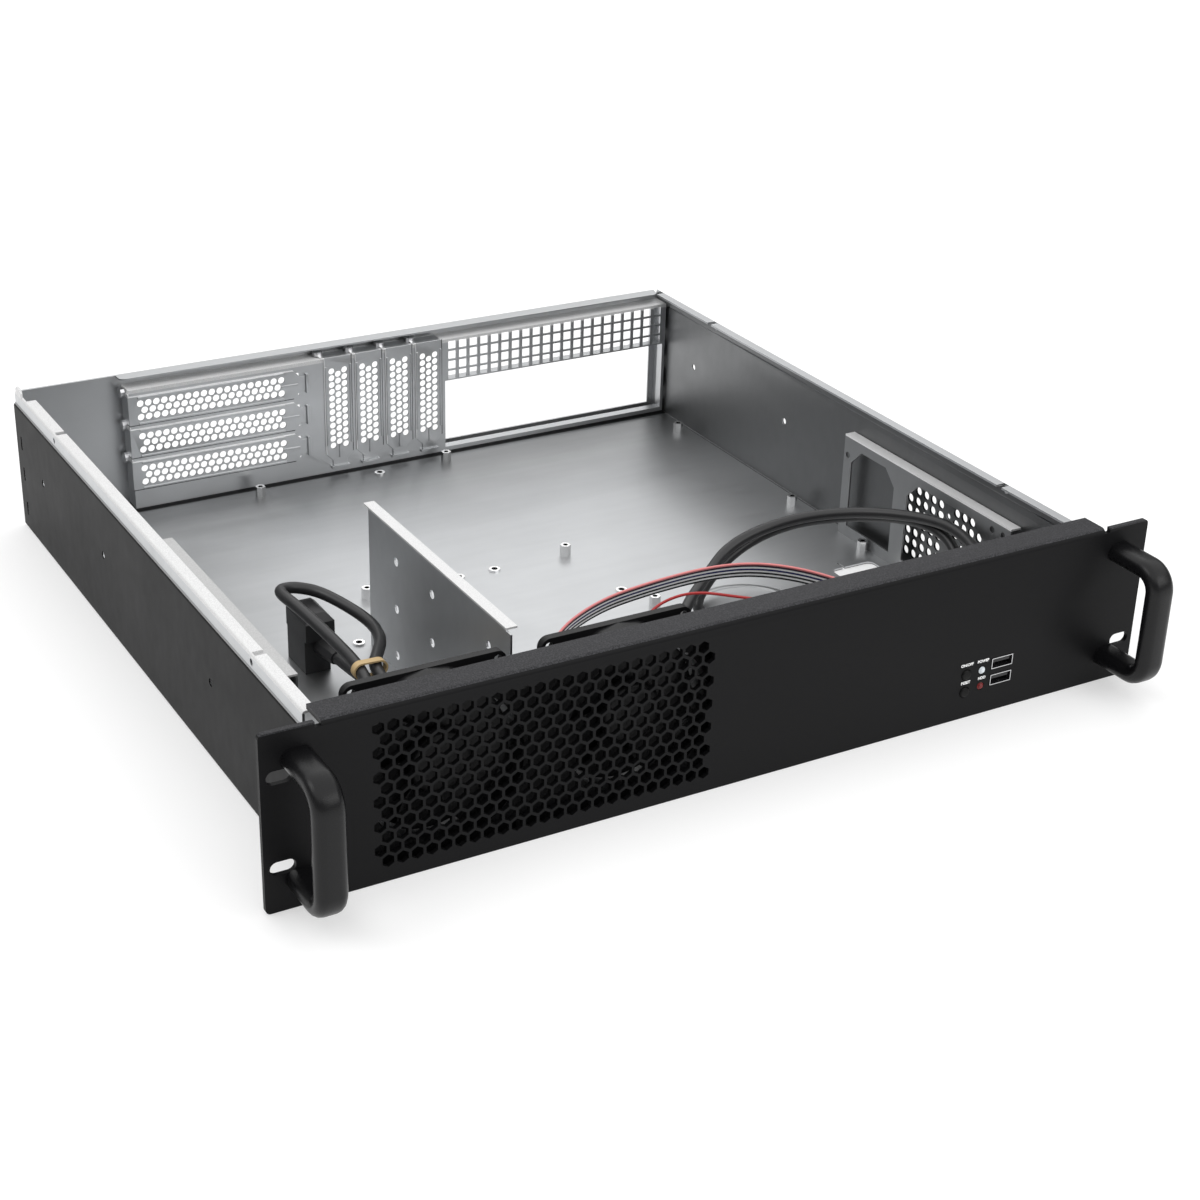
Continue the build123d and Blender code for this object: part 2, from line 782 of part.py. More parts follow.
def bracket_rivets():
    """Rivet heads on the drive brackets' feet."""
    top = sheet + bracket_sheet
    head = flat(peg(rivet_head), top, top + rivet_head_height)
    step = (drive_plate_rear - drive_front) / 4
    left = drive_bay_left - bracket_sheet - foot_width / 2
    right = drive_bay_right + bracket_sheet + foot_width / 2
    return [Pos(x, drive_front + i * step, 0) * head for x in (left, right) for i in (1, 2, 3)]


# Front bulkhead and fans


def fan_screw_places(centres):
    """Screw positions of the fans at the given centres, as X and Z."""
    half = fan_hole_spacing / 2
    return [(x + i * half, fan_centre_z + j * half) for x in centres for i in (-1, 1) for j in (-1, 1)]


def fan_bulkhead():
    """Wall behind the panel that carries the fans, flanged forwards at top and bottom."""
    half = inner_wall - front_flange - clearance_hole
    front = bulkhead_front - bulkhead_flange
    rear = bulkhead_front + sheet
    skin = [(front, sheet), (rear, sheet), (rear, bulkhead_top), (front, bulkhead_top)]
    wall = sideways(bent_sheet(skin, sheet, small_radius), -half, half)
    openings = [Pos(x, fan_centre_z) * RegularPolygon(fan_bore / 2, fan_sides) for x in fan_centre_x]
    openings += [Pos(x, z) * eye(fan_screw + 2 * screw_fit) for x, z in fan_screw_places(fan_centre_x)]
    x0, x1 = control_board_x
    z0, z1 = control_board_z
    openings.append(Pos((x0 + x1) / 2, (z0 + z1) / 2) * Rectangle(x1 - x0 + 4, z1 - z0 + 4))
    return wall - upright(Sketch() + openings, bulkhead_front - 1, rear + 1)


def fan_frame(x):
    """Square frame: two flanges joined by the barrel, with a spider that carries the motor."""
    corners = RectangleRounded(fan_size, fan_size, fan_corner)
    bore = RegularPolygon(fan_bore / 2, fan_sides, major_radius=False)
    barrel = RegularPolygon(fan_bore / 2 + fan_barrel_wall, fan_sides, major_radius=False)
    barrel &= Rectangle(fan_size, fan_size)
    places = fan_screw_places((x,))
    rear_holes = [Pos(hx - x, hz - fan_centre_z) * eye(fan_hole) for hx, hz in places]
    front_holes = [Pos(hx - x, hz - fan_centre_z) * eye(fan_screw + 2 * screw_fit) for hx, hz in places]
    frame = upright(corners - bore - front_holes, fan_front, fan_front + fan_flange)
    frame += upright(barrel - bore, fan_front + fan_flange, fan_rear - fan_flange)
    frame += upright(corners - bore - rear_holes, fan_rear - fan_flange, fan_rear)
    arm = Rectangle(fan_bore + fan_barrel_wall, fan_spider_width)
    spider = RegularPolygon(fan_hub / 2, fan_sides) + Rot(0, 0, 45) * arm + Rot(0, 0, -45) * arm
    frame += upright(spider, fan_rear - fan_spider_depth, fan_rear)
    motor = RegularPolygon(fan_motor / 2, fan_sides // 2)
    motor_rear = fan_rear - fan_spider_depth
    frame += upright(motor, motor_rear - fan_motor_depth, motor_rear)
    frame -= upright(Circle(fan_axle / 2 + fan_axle_play), motor_rear - fan_motor_depth, motor_rear + 1)
    return Pos(x, 0, fan_centre_z) * frame


def fan_rotor(x):
    """Hub cup with an axle and pitched, cambered blades."""
    rear = fan_rear - fan_spider_depth - fan_rotor_gap
    front = rear - fan_rotor_length
    hub = upright(RegularPolygon(fan_hub / 2, fan_sides), front, rear)
    hollow = fan_hub / 2 - fan_rotor_wall
    hub -= upright(RegularPolygon(hollow, fan_sides), front + fan_rotor_wall, rear)
    hub += upright(Circle(fan_axle / 2), front, fan_rear - fan_spider_depth + 0.5)
    half = fan_blade_chord / 2
    skin = [(-half, 0), (-half / 3, fan_blade_rise), (half / 3, fan_blade_rise), (half, 0)]
    back = [(u, v - fan_blade_thickness) for u, v in reversed(skin)]
    section = Rot(0, 0, fan_blade_pitch) * make_face(Polyline(*skin, *back, close=True))
    reach = fan_bore / 2 - fan_blade_tip_gap
    tip = math.sqrt(reach ** 2 - (half * math.cos(math.radians(fan_blade_pitch)) + 1) ** 2)
    root = hollow + fan_rotor_wall / 3
    blade = Pos(0, (front + rear) / 2, root) * extrude(section, amount=tip - root)
    rotor = hub
    for i in range(fan_blade_count):
        rotor += Rot(0, i * 360 / fan_blade_count, 0) * blade
    return Pos(x, 0, fan_centre_z) * rotor


def fan_screws():
    """Screws from the front of the bulkhead into each fan's front flange."""
    part = Rot(90, 0, 0) * screw(fan_screw_head, fan_screw_head_height, fan_screw, fan_screw_length)
    return [Pos(x, bulkhead_front, z) * part for x, z in fan_screw_places(fan_centre_x)]


# Controls


def control_board():
    """Small circuit board behind the controls with its cable header."""
    x0, x1 = control_board_x
    z0, z1 = control_board_z
    rear = control_board_y + control_board_sheet
    holes = [Pos(x, spacer_z) * eye(spacer_bore + 2 * screw_fit) for x in spacer_x]
    face = Pos((x0 + x1) / 2, (z0 + z1) / 2) * Rectangle(x1 - x0, z1 - z0) - holes
    width, depth, height = header_size
    header = block(
        header_x - width / 2, header_x + width / 2, rear, rear + depth, header_z - height / 2, header_z + height / 2
    )
    return upright(face, control_board_y, rear) + header


def control_spacers():
    """Posts between the panel and the control board, each with its pin through the board."""
    rear = control_board_y + control_board_sheet
    post = upright(peg(spacer_post), panel_sheet, control_board_y) + upright(peg(spacer_bore), control_board_y, rear)
    return [Pos(x, 0, spacer_z) * post for x in spacer_x]


def button(z):
    """Round push button with a rim behind the panel."""
    cap = upright(Circle(button_diameter / 2), -button_proud, rim_front)
    cap = chamfer(cap.edges().filter_by(GeomType.CIRCLE).sort_by(Axis.Y)[0], 0.5)
    rim = upright(Circle(button_rim / 2), rim_front, rim_front + button_rim_sheet)
    return Pos(control_row_x, 0, z) * (cap + rim)


def button_switches():
    """Switch body and plunger behind each button."""
    plunger_front = rim_front + button_rim_sheet + button_travel + button_play
    body_front = plunger_front + switch_plunger_length
    switch = upright(Rectangle(switch_body, switch_body), body_front, control_board_y)
    switch += upright(peg(switch_plunger), plunger_front, body_front)
    return [Pos(control_row_x, 0, z) * switch for z in button_z]


def lamp(z):
    """Domed lamp with a rim, standing on the control board."""
    body = upright(peg(lamp_diameter, head_sides), -lamp_proud, control_board_y)
    body = chamfer(body.faces().sort_by(Axis.Y)[0].edges(), lamp_diameter / 5)
    return Pos(lamp_x, 0, z) * (body + upright(peg(lamp_rim, head_sides), 0, panel_sheet))


def usb_port(z):
    """Pressed metal shell around a contact tongue, both carried by the block at its back."""
    half = port_width / 2
    inner = half - port_wall
    top = port_height / 2
    shell = block(-half, half, -port_proud, control_board_y, -top, top)
    shell -= block(-inner, inner, -port_proud, port_depth - 2, port_wall - top, top - port_wall)
    tongue_top = top - port_wall - 0.6
    tongue = block(1.2 - half, half - 1.2, 0.8, port_depth, tongue_top - port_tongue, tongue_top)
    return Pos(port_x, 0, z) * (shell + tongue)


# Cords, their plugs and the tie


def corner_radii(points, share):
    """Radius at each corner: a share of the shorter run over the tangent of half the turn."""
    vectors = [Vector(*b) - Vector(*a) for a, b in zip(points, points[1:])]
    radii = []
    for before, after in zip(vectors, vectors[1:]):
        turn = math.radians(before.get_angle(after))
        radii.append(share * min(before.length, after.length) / math.tan(turn / 2))
    return radii


def tube(points, section, share=0.45, x_dir=None):
    """Section carried along straight runs joined by arcs as large as the runs allow."""
    radii = corner_radii(points, share)
    path = FilletPolyline(*points, radius=radii)
    start = Plane(origin=path @ 0, x_dir=x_dir, z_dir=path % 0)
    solid = sweep(start * section, path=path)
    print(f"cord {path.length:.1f} mm long, smallest radii", sorted(round(r, 1) for r in radii)[:6])
    print(f"  volume over section times length {solid.volume / (section.area * path.length):.4f}")
    return solid


def lead_route():
    """Corners of the mains lead from the left plug to the right one."""
    out_of_plug = [(-132, 173, 16), (-130, 151, 16), (-128, 126, 19), (-127, 98, 19)]
    turn_behind_left_fan = [
        (-128, 70, 15), (-142, 54, 14), (-162, 52, 17), (-170, 68, 24), (-160, 90, 32), (-145.5, 103.5, 36),
    ]
    loop_over_plug = [
        (-142.3, 121, 37.8), (-142.5, 151, 38.5), (-147, 185, 42.6), (-149, 205, 42.1), (-145.5, 211.5, 41.1),
        (-137, 212.6, 39.8), (-125, 205.5, 37.2), (-114, 172.3, 34), (-118.5, 148, 35.3), (-128, 132.5, 36.7),
        (-135.3, 121, 37.3),
    ]
    behind_fans = [
        (-137, 99, 36), (-133, 72, 30.5), (-118, 50, 22), (-98, 41.5, 17), (-66, 41.5, 11),
        (-32, 46.4, 7.2), (0, 64, 5.3), (23.7, 90.2, 5.4), (40.2, 121.5, 7.5),
    ]
    outer_arch = [
        (58, 147.8, 10.5), (84.7, 168.2, 15.8), (109.8, 181.8, 26.4), (145.5, 178, 35.3), (174.5, 158.6, 42),
        (195, 128, 47.5), (202.5, 101.4, 49.5), (197, 71, 45.2), (180, 48, 37),
    ]
    round_on_floor = [
        (157, 38.4, 27), (130, 43.2, 16.2), (106.8, 59.3, 6.5), (88, 86.8, 4.8), (75.4, 116, 4.8), (70.4, 150, 4.8),
    ]
    inner_arch = [
        (80, 168.5, 5.3), (113, 186.4, 17.5), (145.5, 184, 29.5), (176, 164.6, 37), (198.4, 133.8, 43),
        (203, 108, 42),
    ]
    into_plug = [(200, 92, 31), (191, 86, 18), (185.5, 78, 13.5), (184.5, 64, 13)]
    return [
        *out_of_plug, *turn_behind_left_fan, *loop_over_plug, *behind_fans,
        *outer_arch, *round_on_floor, *inner_arch, *into_plug,
    ]


def mains_lead():
    """Supply lead, from plug to plug."""
    return tube(lead_route(), peg(lead_diameter))


def sleeve(tip, beside, length):
    """Tapered sleeve in line with the lead, from its end into the plug; beside is the next corner."""
    axis = Plane(origin=tip, z_dir=Vector(*tip) - Vector(*beside))
    return loft([axis * peg(relief_tip), axis.offset(length) * peg(relief_base)])


def left_mains_plug():
    """Angled appliance plug standing on its mating face, its sleeve pointing to the front."""
    x0, x1 = left_plug_x
    y0, y1 = left_plug_y
    inset = left_plug_inset
    body = block(x0, x1 - inset, y0 + inset, y1 - inset / 2, sheet, left_plug_step)
    grip = block(x0, x1, y0, y1, left_plug_step, left_plug_top)
    grip = chamfer(grip.edges().group_by(Axis.Z)[-1], left_plug_shoulder)
    tip, beside = lead_route()[:2]
    return body + grip + sleeve(tip, beside, relief_length)


def right_mains_plug():
    """Mains plug lying on the floor in the front corner, its sleeve pointing to the rear."""
    beside, tip = lead_route()[-2:]
    end_x, end_y, _ = tip
    half = right_plug_width / 2
    rear = end_y - right_relief_length
    front = rear - right_plug_length
    body = block(end_x - half, end_x + half, front, rear, sheet, sheet + right_plug_height)
    body = chamfer(body.edges().filter_by(Axis.Y), left_plug_shoulder)
    return body + sleeve(tip, beside, right_relief_length + 1)


def lead_tie():
    """Flat band round the two strands of the loop."""
    x, y, z = tie_centre
    span, thick = tie_inner
    band = SlotOverall(span + 2 * tie_wall, thick + 2 * tie_wall) - SlotOverall(span, thick)
    return Pos(x, 0, z) * Rot(0, tie_tilt, 0) * upright(band, y - tie_width / 2, y + tie_width / 2)


def ribbon_height(x, y):
    """Level of the ribbon's slanting plane."""
    at_x, at_y = ribbon_level_at
    return ribbon_level + ribbon_slope_x * (x - at_x) + ribbon_slope_y * (y - at_y)


def ribbon_route():
    """Corners of the ribbon from the board header to the plug on the floor."""
    plan = [
        (header_x, control_board_y + control_board_sheet + header_size[1] - ribbon_bite),
        (126.5, 58), (104.7, 86.8), (78.8, 106.7), (51.7, 115.8), (17.7, 119.8),
        (-11.7, 120.6), (-40.7, 112.3), (-60.2, 90.2), (-63, 63),
    ]
    return [(x, y, ribbon_height(x, y)) for x, y in plan]


def ribbon_across():
    """Direction across the ribbon's width."""
    return Vector(-ribbon_slope_x, -ribbon_slope_y, 1).normalized()


def panel_ribbon():
    """Flat ribbon on edge, bent in one slanting plane."""
    return tube(ribbon_route(), Rectangle(ribbon_width, ribbon_thickness), x_dir=ribbon_across())


def ribbon_plug():
    """Plug at the ribbon's free end, lying on the floor."""
    points = ribbon_route()
    along = Vector(*points[-1]) - Vector(*points[-2])
    thick, length, height = ribbon_plug_size
    base = Plane(origin=points[-1], x_dir=ribbon_across(), z_dir=along)
    return extrude(base * Rectangle(height, thick), amount=length)


def wire_route():
    """Corners of the single wire from the control board to its plug."""
    start = control_board_y + control_board_sheet
    return [
        (152, start, 16), (152, 34, 16), (145.5, 60, 18), (127.5, 87, 21), (105, 110.2, 21.5),
        (84, 130, 21.1), (63.4, 146.4, 22.3), (44.8, 151, 17.3), (32.5, 146.7, 10.7), (26, 133, 3.4),
        (22.4, 125.3, 3.4),
    ]


def red_wire():
    """Single wire beside the ribbon."""
    return tube(wire_route(), peg(wire_diameter, 6))


def red_wire_plug():
    """Small plug at the wire's free end."""
    points = wire_route()
    along = Vector(*points[-1]) - Vector(*points[-2])
    thick, length, height = wire_plug_size
    base = Plane(origin=points[-1], x_dir=(0, 0, 1), z_dir=along)
    return extrude(base * Rectangle(height, thick), amount=length)


# Writing the nodes


def write_node(name, shape):
    """Carries a node to the origin of the part and writes it."""
    pieces = shape if isinstance(shape, list) else [shape]
    carried = [Pos(0, -panel_sheet, -slot_mid_z) * piece for piece in pieces]
    node = carried[0] if len(carried) == 1 else Compound(children=carried)
    export_step(node, f"parts/{name}.step")


def main():
    """Builds every node of the case."""
    os.makedirs("parts", exist_ok=True)
    nodes = {
        "front_panel": front_panel(),
        "panel_nuts": panel_nuts(),
        "left_handle": handle(-1),
        "right_handle": handle(1),
        "handle_screws": handle_screws(),
        "base_tray": base_tray(),
        "board_spacers": board_spacers(),
        "floor_nuts": floor_nuts(),
        "rear_panel": rear_panel(),
        "card_bracket": card_bracket(),
        "slot_cover_screws": slot_cover_screws(),
        "drive_bracket_left": drive_bracket_left(),
        "drive_divider": drive_divider(),
        "supply_bracket": supply_bracket(),
        "bracket_rivets": bracket_rivets(),
        "fan_bulkhead": fan_bulkhead(),
        "fan_screws": fan_screws(),
        "control_board": control_board(),
        "control_spacers": control_spacers(),
        "button_switches": button_switches(),
        "mains_lead": mains_lead(),
        "left_mains_plug": left_mains_plug(),
        "right_mains_plug": right_mains_plug(),
        "lead_tie": lead_tie(),
        "panel_ribbon": panel_ribbon(),
        "ribbon_plug": ribbon_plug(),
        "red_wire": red_wire(),
        "red_wire_plug": red_wire_plug(),
    }
    nodes.update({f"upright_slot_cover_{i + 1}": upright_cover(x) for i, x in enumerate(upright_x)})
    nodes.update({f"flat_slot_cover_{i + 1}": flat_cover(z) for i, z in enumerate(flat_z)})
    for side, x in zip(("left", "right"), fan_centre_x):
        nodes[f"{side}_fan_frame"] = fan_frame(x)
        nodes[f"{side}_fan_rotor"] = fan_rotor(x)
    for name, z in zip(("power", "reset"), button_z):
        nodes[f"{name}_button"] = button(z)
    for name, z in zip(("power", "drive"), lamp_z):
        nodes[f"{name}_lamp"] = lamp(z)
    for name, z in zip(("upper", "lower"), port_z):
        nodes[f"usb_port_{name}"] = usb_port(z)
    for name, shape in nodes.items():
        write_node(name, shape)


main()
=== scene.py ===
"""Visual model of an open rackmount server case: finishes, cords, lettering, light and camera."""

import json
import logging
import math
from dataclasses import dataclass, field
from enum import Enum
from functools import reduce
from typing import Any, Callable, Sequence

import bmesh
import bpy
import numpy as np
from mathutils import Matrix, Vector
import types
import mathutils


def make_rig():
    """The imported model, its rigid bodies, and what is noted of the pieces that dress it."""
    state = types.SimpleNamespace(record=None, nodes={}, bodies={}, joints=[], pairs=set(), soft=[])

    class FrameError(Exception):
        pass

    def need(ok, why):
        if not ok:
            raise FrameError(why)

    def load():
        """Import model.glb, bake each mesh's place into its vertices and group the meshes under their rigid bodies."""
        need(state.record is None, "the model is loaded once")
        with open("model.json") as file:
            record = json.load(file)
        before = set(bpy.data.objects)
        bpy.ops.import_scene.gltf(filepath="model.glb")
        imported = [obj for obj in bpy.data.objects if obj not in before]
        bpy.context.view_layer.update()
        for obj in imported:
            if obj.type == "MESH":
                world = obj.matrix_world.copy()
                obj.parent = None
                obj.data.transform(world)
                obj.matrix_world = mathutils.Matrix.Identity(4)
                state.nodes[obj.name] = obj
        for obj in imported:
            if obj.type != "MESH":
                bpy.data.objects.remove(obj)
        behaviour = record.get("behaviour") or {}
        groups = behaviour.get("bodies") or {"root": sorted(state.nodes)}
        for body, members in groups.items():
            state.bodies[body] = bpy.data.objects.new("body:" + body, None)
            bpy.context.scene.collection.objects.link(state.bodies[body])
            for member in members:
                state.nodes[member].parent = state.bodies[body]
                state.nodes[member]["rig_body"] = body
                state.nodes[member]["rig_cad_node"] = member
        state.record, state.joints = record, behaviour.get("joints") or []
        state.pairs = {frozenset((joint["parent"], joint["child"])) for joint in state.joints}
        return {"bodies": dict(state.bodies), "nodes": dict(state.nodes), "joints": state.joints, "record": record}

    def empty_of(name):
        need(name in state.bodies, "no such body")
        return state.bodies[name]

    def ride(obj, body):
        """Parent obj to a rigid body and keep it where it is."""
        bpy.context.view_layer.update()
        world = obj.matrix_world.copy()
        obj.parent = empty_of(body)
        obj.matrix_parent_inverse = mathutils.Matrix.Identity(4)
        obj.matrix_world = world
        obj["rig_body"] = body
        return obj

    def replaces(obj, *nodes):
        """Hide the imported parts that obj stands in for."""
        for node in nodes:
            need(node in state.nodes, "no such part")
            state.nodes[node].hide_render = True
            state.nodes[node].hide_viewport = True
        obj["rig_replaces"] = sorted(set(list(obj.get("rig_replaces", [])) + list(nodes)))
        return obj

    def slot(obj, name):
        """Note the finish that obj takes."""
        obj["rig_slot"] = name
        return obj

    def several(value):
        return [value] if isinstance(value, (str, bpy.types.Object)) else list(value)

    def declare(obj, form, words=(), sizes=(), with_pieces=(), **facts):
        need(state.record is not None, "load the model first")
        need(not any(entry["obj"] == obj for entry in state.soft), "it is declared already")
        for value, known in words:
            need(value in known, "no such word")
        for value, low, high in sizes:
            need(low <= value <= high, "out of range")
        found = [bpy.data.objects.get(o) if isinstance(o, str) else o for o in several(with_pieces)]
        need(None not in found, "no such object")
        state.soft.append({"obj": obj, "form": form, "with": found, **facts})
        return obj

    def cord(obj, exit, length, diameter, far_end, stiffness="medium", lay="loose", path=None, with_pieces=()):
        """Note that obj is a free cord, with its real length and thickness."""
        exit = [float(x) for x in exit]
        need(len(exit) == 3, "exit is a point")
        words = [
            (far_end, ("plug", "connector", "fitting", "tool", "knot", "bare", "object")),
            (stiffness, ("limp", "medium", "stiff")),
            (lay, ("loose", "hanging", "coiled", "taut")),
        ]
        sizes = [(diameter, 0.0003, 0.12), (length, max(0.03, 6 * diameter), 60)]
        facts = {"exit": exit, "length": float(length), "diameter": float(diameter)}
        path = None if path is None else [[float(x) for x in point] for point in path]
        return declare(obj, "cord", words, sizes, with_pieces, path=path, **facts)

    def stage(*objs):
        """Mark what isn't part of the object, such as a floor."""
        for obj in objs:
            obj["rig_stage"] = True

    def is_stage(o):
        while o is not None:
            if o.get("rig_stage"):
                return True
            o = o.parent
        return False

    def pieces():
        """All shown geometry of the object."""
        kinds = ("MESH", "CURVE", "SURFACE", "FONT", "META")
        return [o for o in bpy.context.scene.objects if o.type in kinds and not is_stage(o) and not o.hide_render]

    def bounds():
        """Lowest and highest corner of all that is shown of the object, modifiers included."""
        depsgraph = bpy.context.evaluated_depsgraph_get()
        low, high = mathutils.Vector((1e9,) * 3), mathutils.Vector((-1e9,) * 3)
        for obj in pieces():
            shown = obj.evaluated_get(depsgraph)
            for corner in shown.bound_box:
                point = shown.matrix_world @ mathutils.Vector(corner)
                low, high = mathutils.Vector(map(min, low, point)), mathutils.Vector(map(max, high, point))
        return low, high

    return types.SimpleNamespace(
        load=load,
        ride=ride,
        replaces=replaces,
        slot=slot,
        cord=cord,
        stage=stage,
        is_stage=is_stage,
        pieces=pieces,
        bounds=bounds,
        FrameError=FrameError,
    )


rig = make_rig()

log = logging.getLogger("server_case")

MM = 0.001
PANEL_SHEET = 2.5
SLOT_MID_Z = 44.05
CASE_BODY = "case"

Pair = tuple[float, float]
Point = tuple[float, float, float]
Colour = tuple[float, float, float]

BLACK: Colour = (0.0, 0.0, 0.0)


def place(x: float, y: float, z: float) -> Vector:
    """Turns case coordinates into the shared frame.

    Args:
        x: millimetres to the right of the middle.
        y: millimetres behind the panel's front face.
        z: millimetres above the underside.

    Returns:
        The point in metres, from the centre of the rack slots.
    """
    return Vector((x, y - PANEL_SHEET, z - SLOT_MID_Z)) * MM


# Shader graph


@dataclass(frozen=True)
class Socket:
    """A value that flows between shader nodes, with arithmetic written as operators."""

    graph: "Graph"
    output: Any

    def _math(self, operation: str, other: "Socket | float", swapped: bool = False) -> "Socket":
        """Adds a Math node with this value first, or second where swapped."""
        pair = (other, self) if swapped else (self, other)
        return self.graph.math(operation, *pair)

    def __add__(self, other: "Socket | float") -> "Socket":
        """This value plus another."""
        return self._math("ADD", other)

    def __radd__(self, other: float) -> "Socket":
        """A number plus this value."""
        return self._math("ADD", other, swapped=True)

    def __sub__(self, other: "Socket | float") -> "Socket":
        """This value less another."""
        return self._math("SUBTRACT", other)

    def __rsub__(self, other: float) -> "Socket":
        """A number less this value."""
        return self._math("SUBTRACT", other, swapped=True)

    def __mul__(self, other: "Socket | float") -> "Socket":
        """This value times another."""
        return self._math("MULTIPLY", other)

    def __rmul__(self, other: float) -> "Socket":
        """A number times this value."""
        return self._math("MULTIPLY", other, swapped=True)

    def __truediv__(self, other: "Socket | float") -> "Socket":
        """This value over another."""
        return self._math("DIVIDE", other)

    def __rtruediv__(self, other: float) -> "Socket":
        """A number over this value."""
        return self._math("DIVIDE", other, swapped=True)

    def __lt__(self, other: "Socket | float") -> "Socket":
        """1 where this value is less than another, else 0."""
        return self._math("LESS_THAN", other)

    def __gt__(self, other: "Socket | float") -> "Socket":
        """1 where this value is greater than another, else 0."""
        return self._math("GREATER_THAN", other)

    def rounded(self) -> "Socket":
        """Nearest whole number."""
        return self.graph.math("ROUND", self)

    def fraction(self) -> "Socket":
        """What is left above the whole number below."""
        return self.graph.math("FRACT", self)

    def size(self) -> "Socket":
        """Value without its sign."""
        return self.graph.math("ABSOLUTE", self)

    def root(self) -> "Socket":
        """Square root."""
        return self.graph.math("SQRT", self)


class Graph:
    """Node tree of one material around a Principled shader."""

    def __init__(self, name: str) -> None:
        """Starts a material with a shader and an output.

        Args:
            name: the material's name.
        """
        self.material = bpy.data.materials.new(name)
        self.material.use_nodes = True
        self.tree = self.material.node_tree
        self.tree.nodes.clear()
        self.shader = self.tree.nodes.new("ShaderNodeBsdfPrincipled")
        end = self.tree.nodes.new("ShaderNodeOutputMaterial")
        self.tree.links.new(self.shader.outputs["BSDF"], end.inputs["Surface"])

    def node(
        self, kind: str, inputs: dict[str | int, Any] | None = None, output: str | int = 0, **settings: Any
    ) -> Socket:
        """Adds a node.

        Args:
            kind: node type without the ShaderNode in front.
            inputs: values or sockets by input name or number.
            output: the output that is wanted.
            **settings: the node's own options.

        Returns:
            The chosen output.
        """
        made = self.tree.nodes.new("ShaderNode" + kind)
        for key, value in settings.items():
            setattr(made, key, value)
        for key, value in (inputs or {}).items():
            self.feed(made.inputs[key], value)
        return Socket(self, made.outputs[output])

    def feed(self, target: Any, value: Any) -> None:
        """Links a socket to an input, or sets the input's own value.

        Args:
            target: the input.
            value: a socket, or the value itself.
        """
        if isinstance(value, Socket):
            self.tree.links.new(value.output, target)
        else:
            target.default_value = value

    def math(self, operation: str, *values: Socket | float) -> Socket:
        """Adds a Math node with its values in order."""
        return self.node("Math", dict(enumerate(values)), operation=operation)

    def axes(self) -> tuple[Socket, Socket, Socket]:
        """Case coordinates of the shaded point.

        Returns:
            X, Y and Z in millimetres.
        """
        point = self.node("TexCoord", output="Object")
        parts = [self.node("SeparateXYZ", {0: point}, output=i) for i in range(3)]
        return parts[0] / MM, parts[1] / MM + PANEL_SHEET, parts[2] / MM + SLOT_MID_Z

    def noise(self, scale: float, detail: float = 2.0, stretch: Point = (1.0, 1.0, 1.0)) -> Socket:
        """Soft noise in Object coordinates.

        Args:
            scale: features in a metre.
            detail: finer layers.
            stretch: factor on each axis.

        Returns:
            A value from 0 to 1.
        """
        point = self.node("TexCoord", output="Object")
        point = self.node("Mapping", {"Vector": point, "Scale": stretch})
        return self.node("TexNoise", {"Vector": point, "Scale": scale, "Detail": detail})

    def blend(self, factor: Socket | float, a: Socket | Colour, b: Socket | Colour) -> Socket:
        """Mixes two colours."""
        first, second = (v if isinstance(v, Socket) else (*v, 1.0) for v in (a, b))
        return self.node("Mix", {0: factor, 6: first, 7: second}, output=2, data_type="RGBA")

    def lerp(self, factor: Socket, a: float, b: float) -> Socket:
        """Straight line from a to b."""
        return factor * (b - a) + a

    def ramp(self, value: Socket, start: float, end: float) -> Socket:
        """Smooth step from 0 at the start to 1 at the end."""
        limits = {0: value, 1: start, 2: end, 3: 0.0, 4: 1.0}
        return self.node("MapRange", limits, interpolation_type="SMOOTHSTEP")

    def distance(self, a: Socket, b: Socket) -> Socket:
        """Length of the vector with the given parts."""
        return (a * a + b * b).root()

    def between(self, value: Socket, low: float, high: float) -> Socket:
        """Mask that is 1 between two levels."""
        return (value > low) * (value < high)

    def most(self, *values: Socket) -> Socket:
        """Largest of several values."""
        return reduce(lambda a, b: self.math("MAXIMUM", a, b), values)

    def discs(self, places: Sequence[Pair], radius: float) -> Socket:
        """Mask that is 1 nearer than the radius to any of the places, seen from above."""
        x, y, _ = self.axes()
        return sum(self.distance(x - at_x, y - at_y) < radius for at_x, at_y in places)

    def bump(self, height: Socket, strength: float, distance: float) -> None:
        """Feeds the shader's normal from a height."""
        normal = self.node("Bump", {"Height": height, "Strength": strength, "Distance": distance})
        self.feed(self.shader.inputs["Normal"], normal)

    def set(self, **inputs: Any) -> None:
        """Feeds or sets the shader's inputs; an underscore stands for a space."""
        for key, value in inputs.items():
            self.feed(self.shader.inputs[key.replace("_", " ")], value)


# Patterns of holes


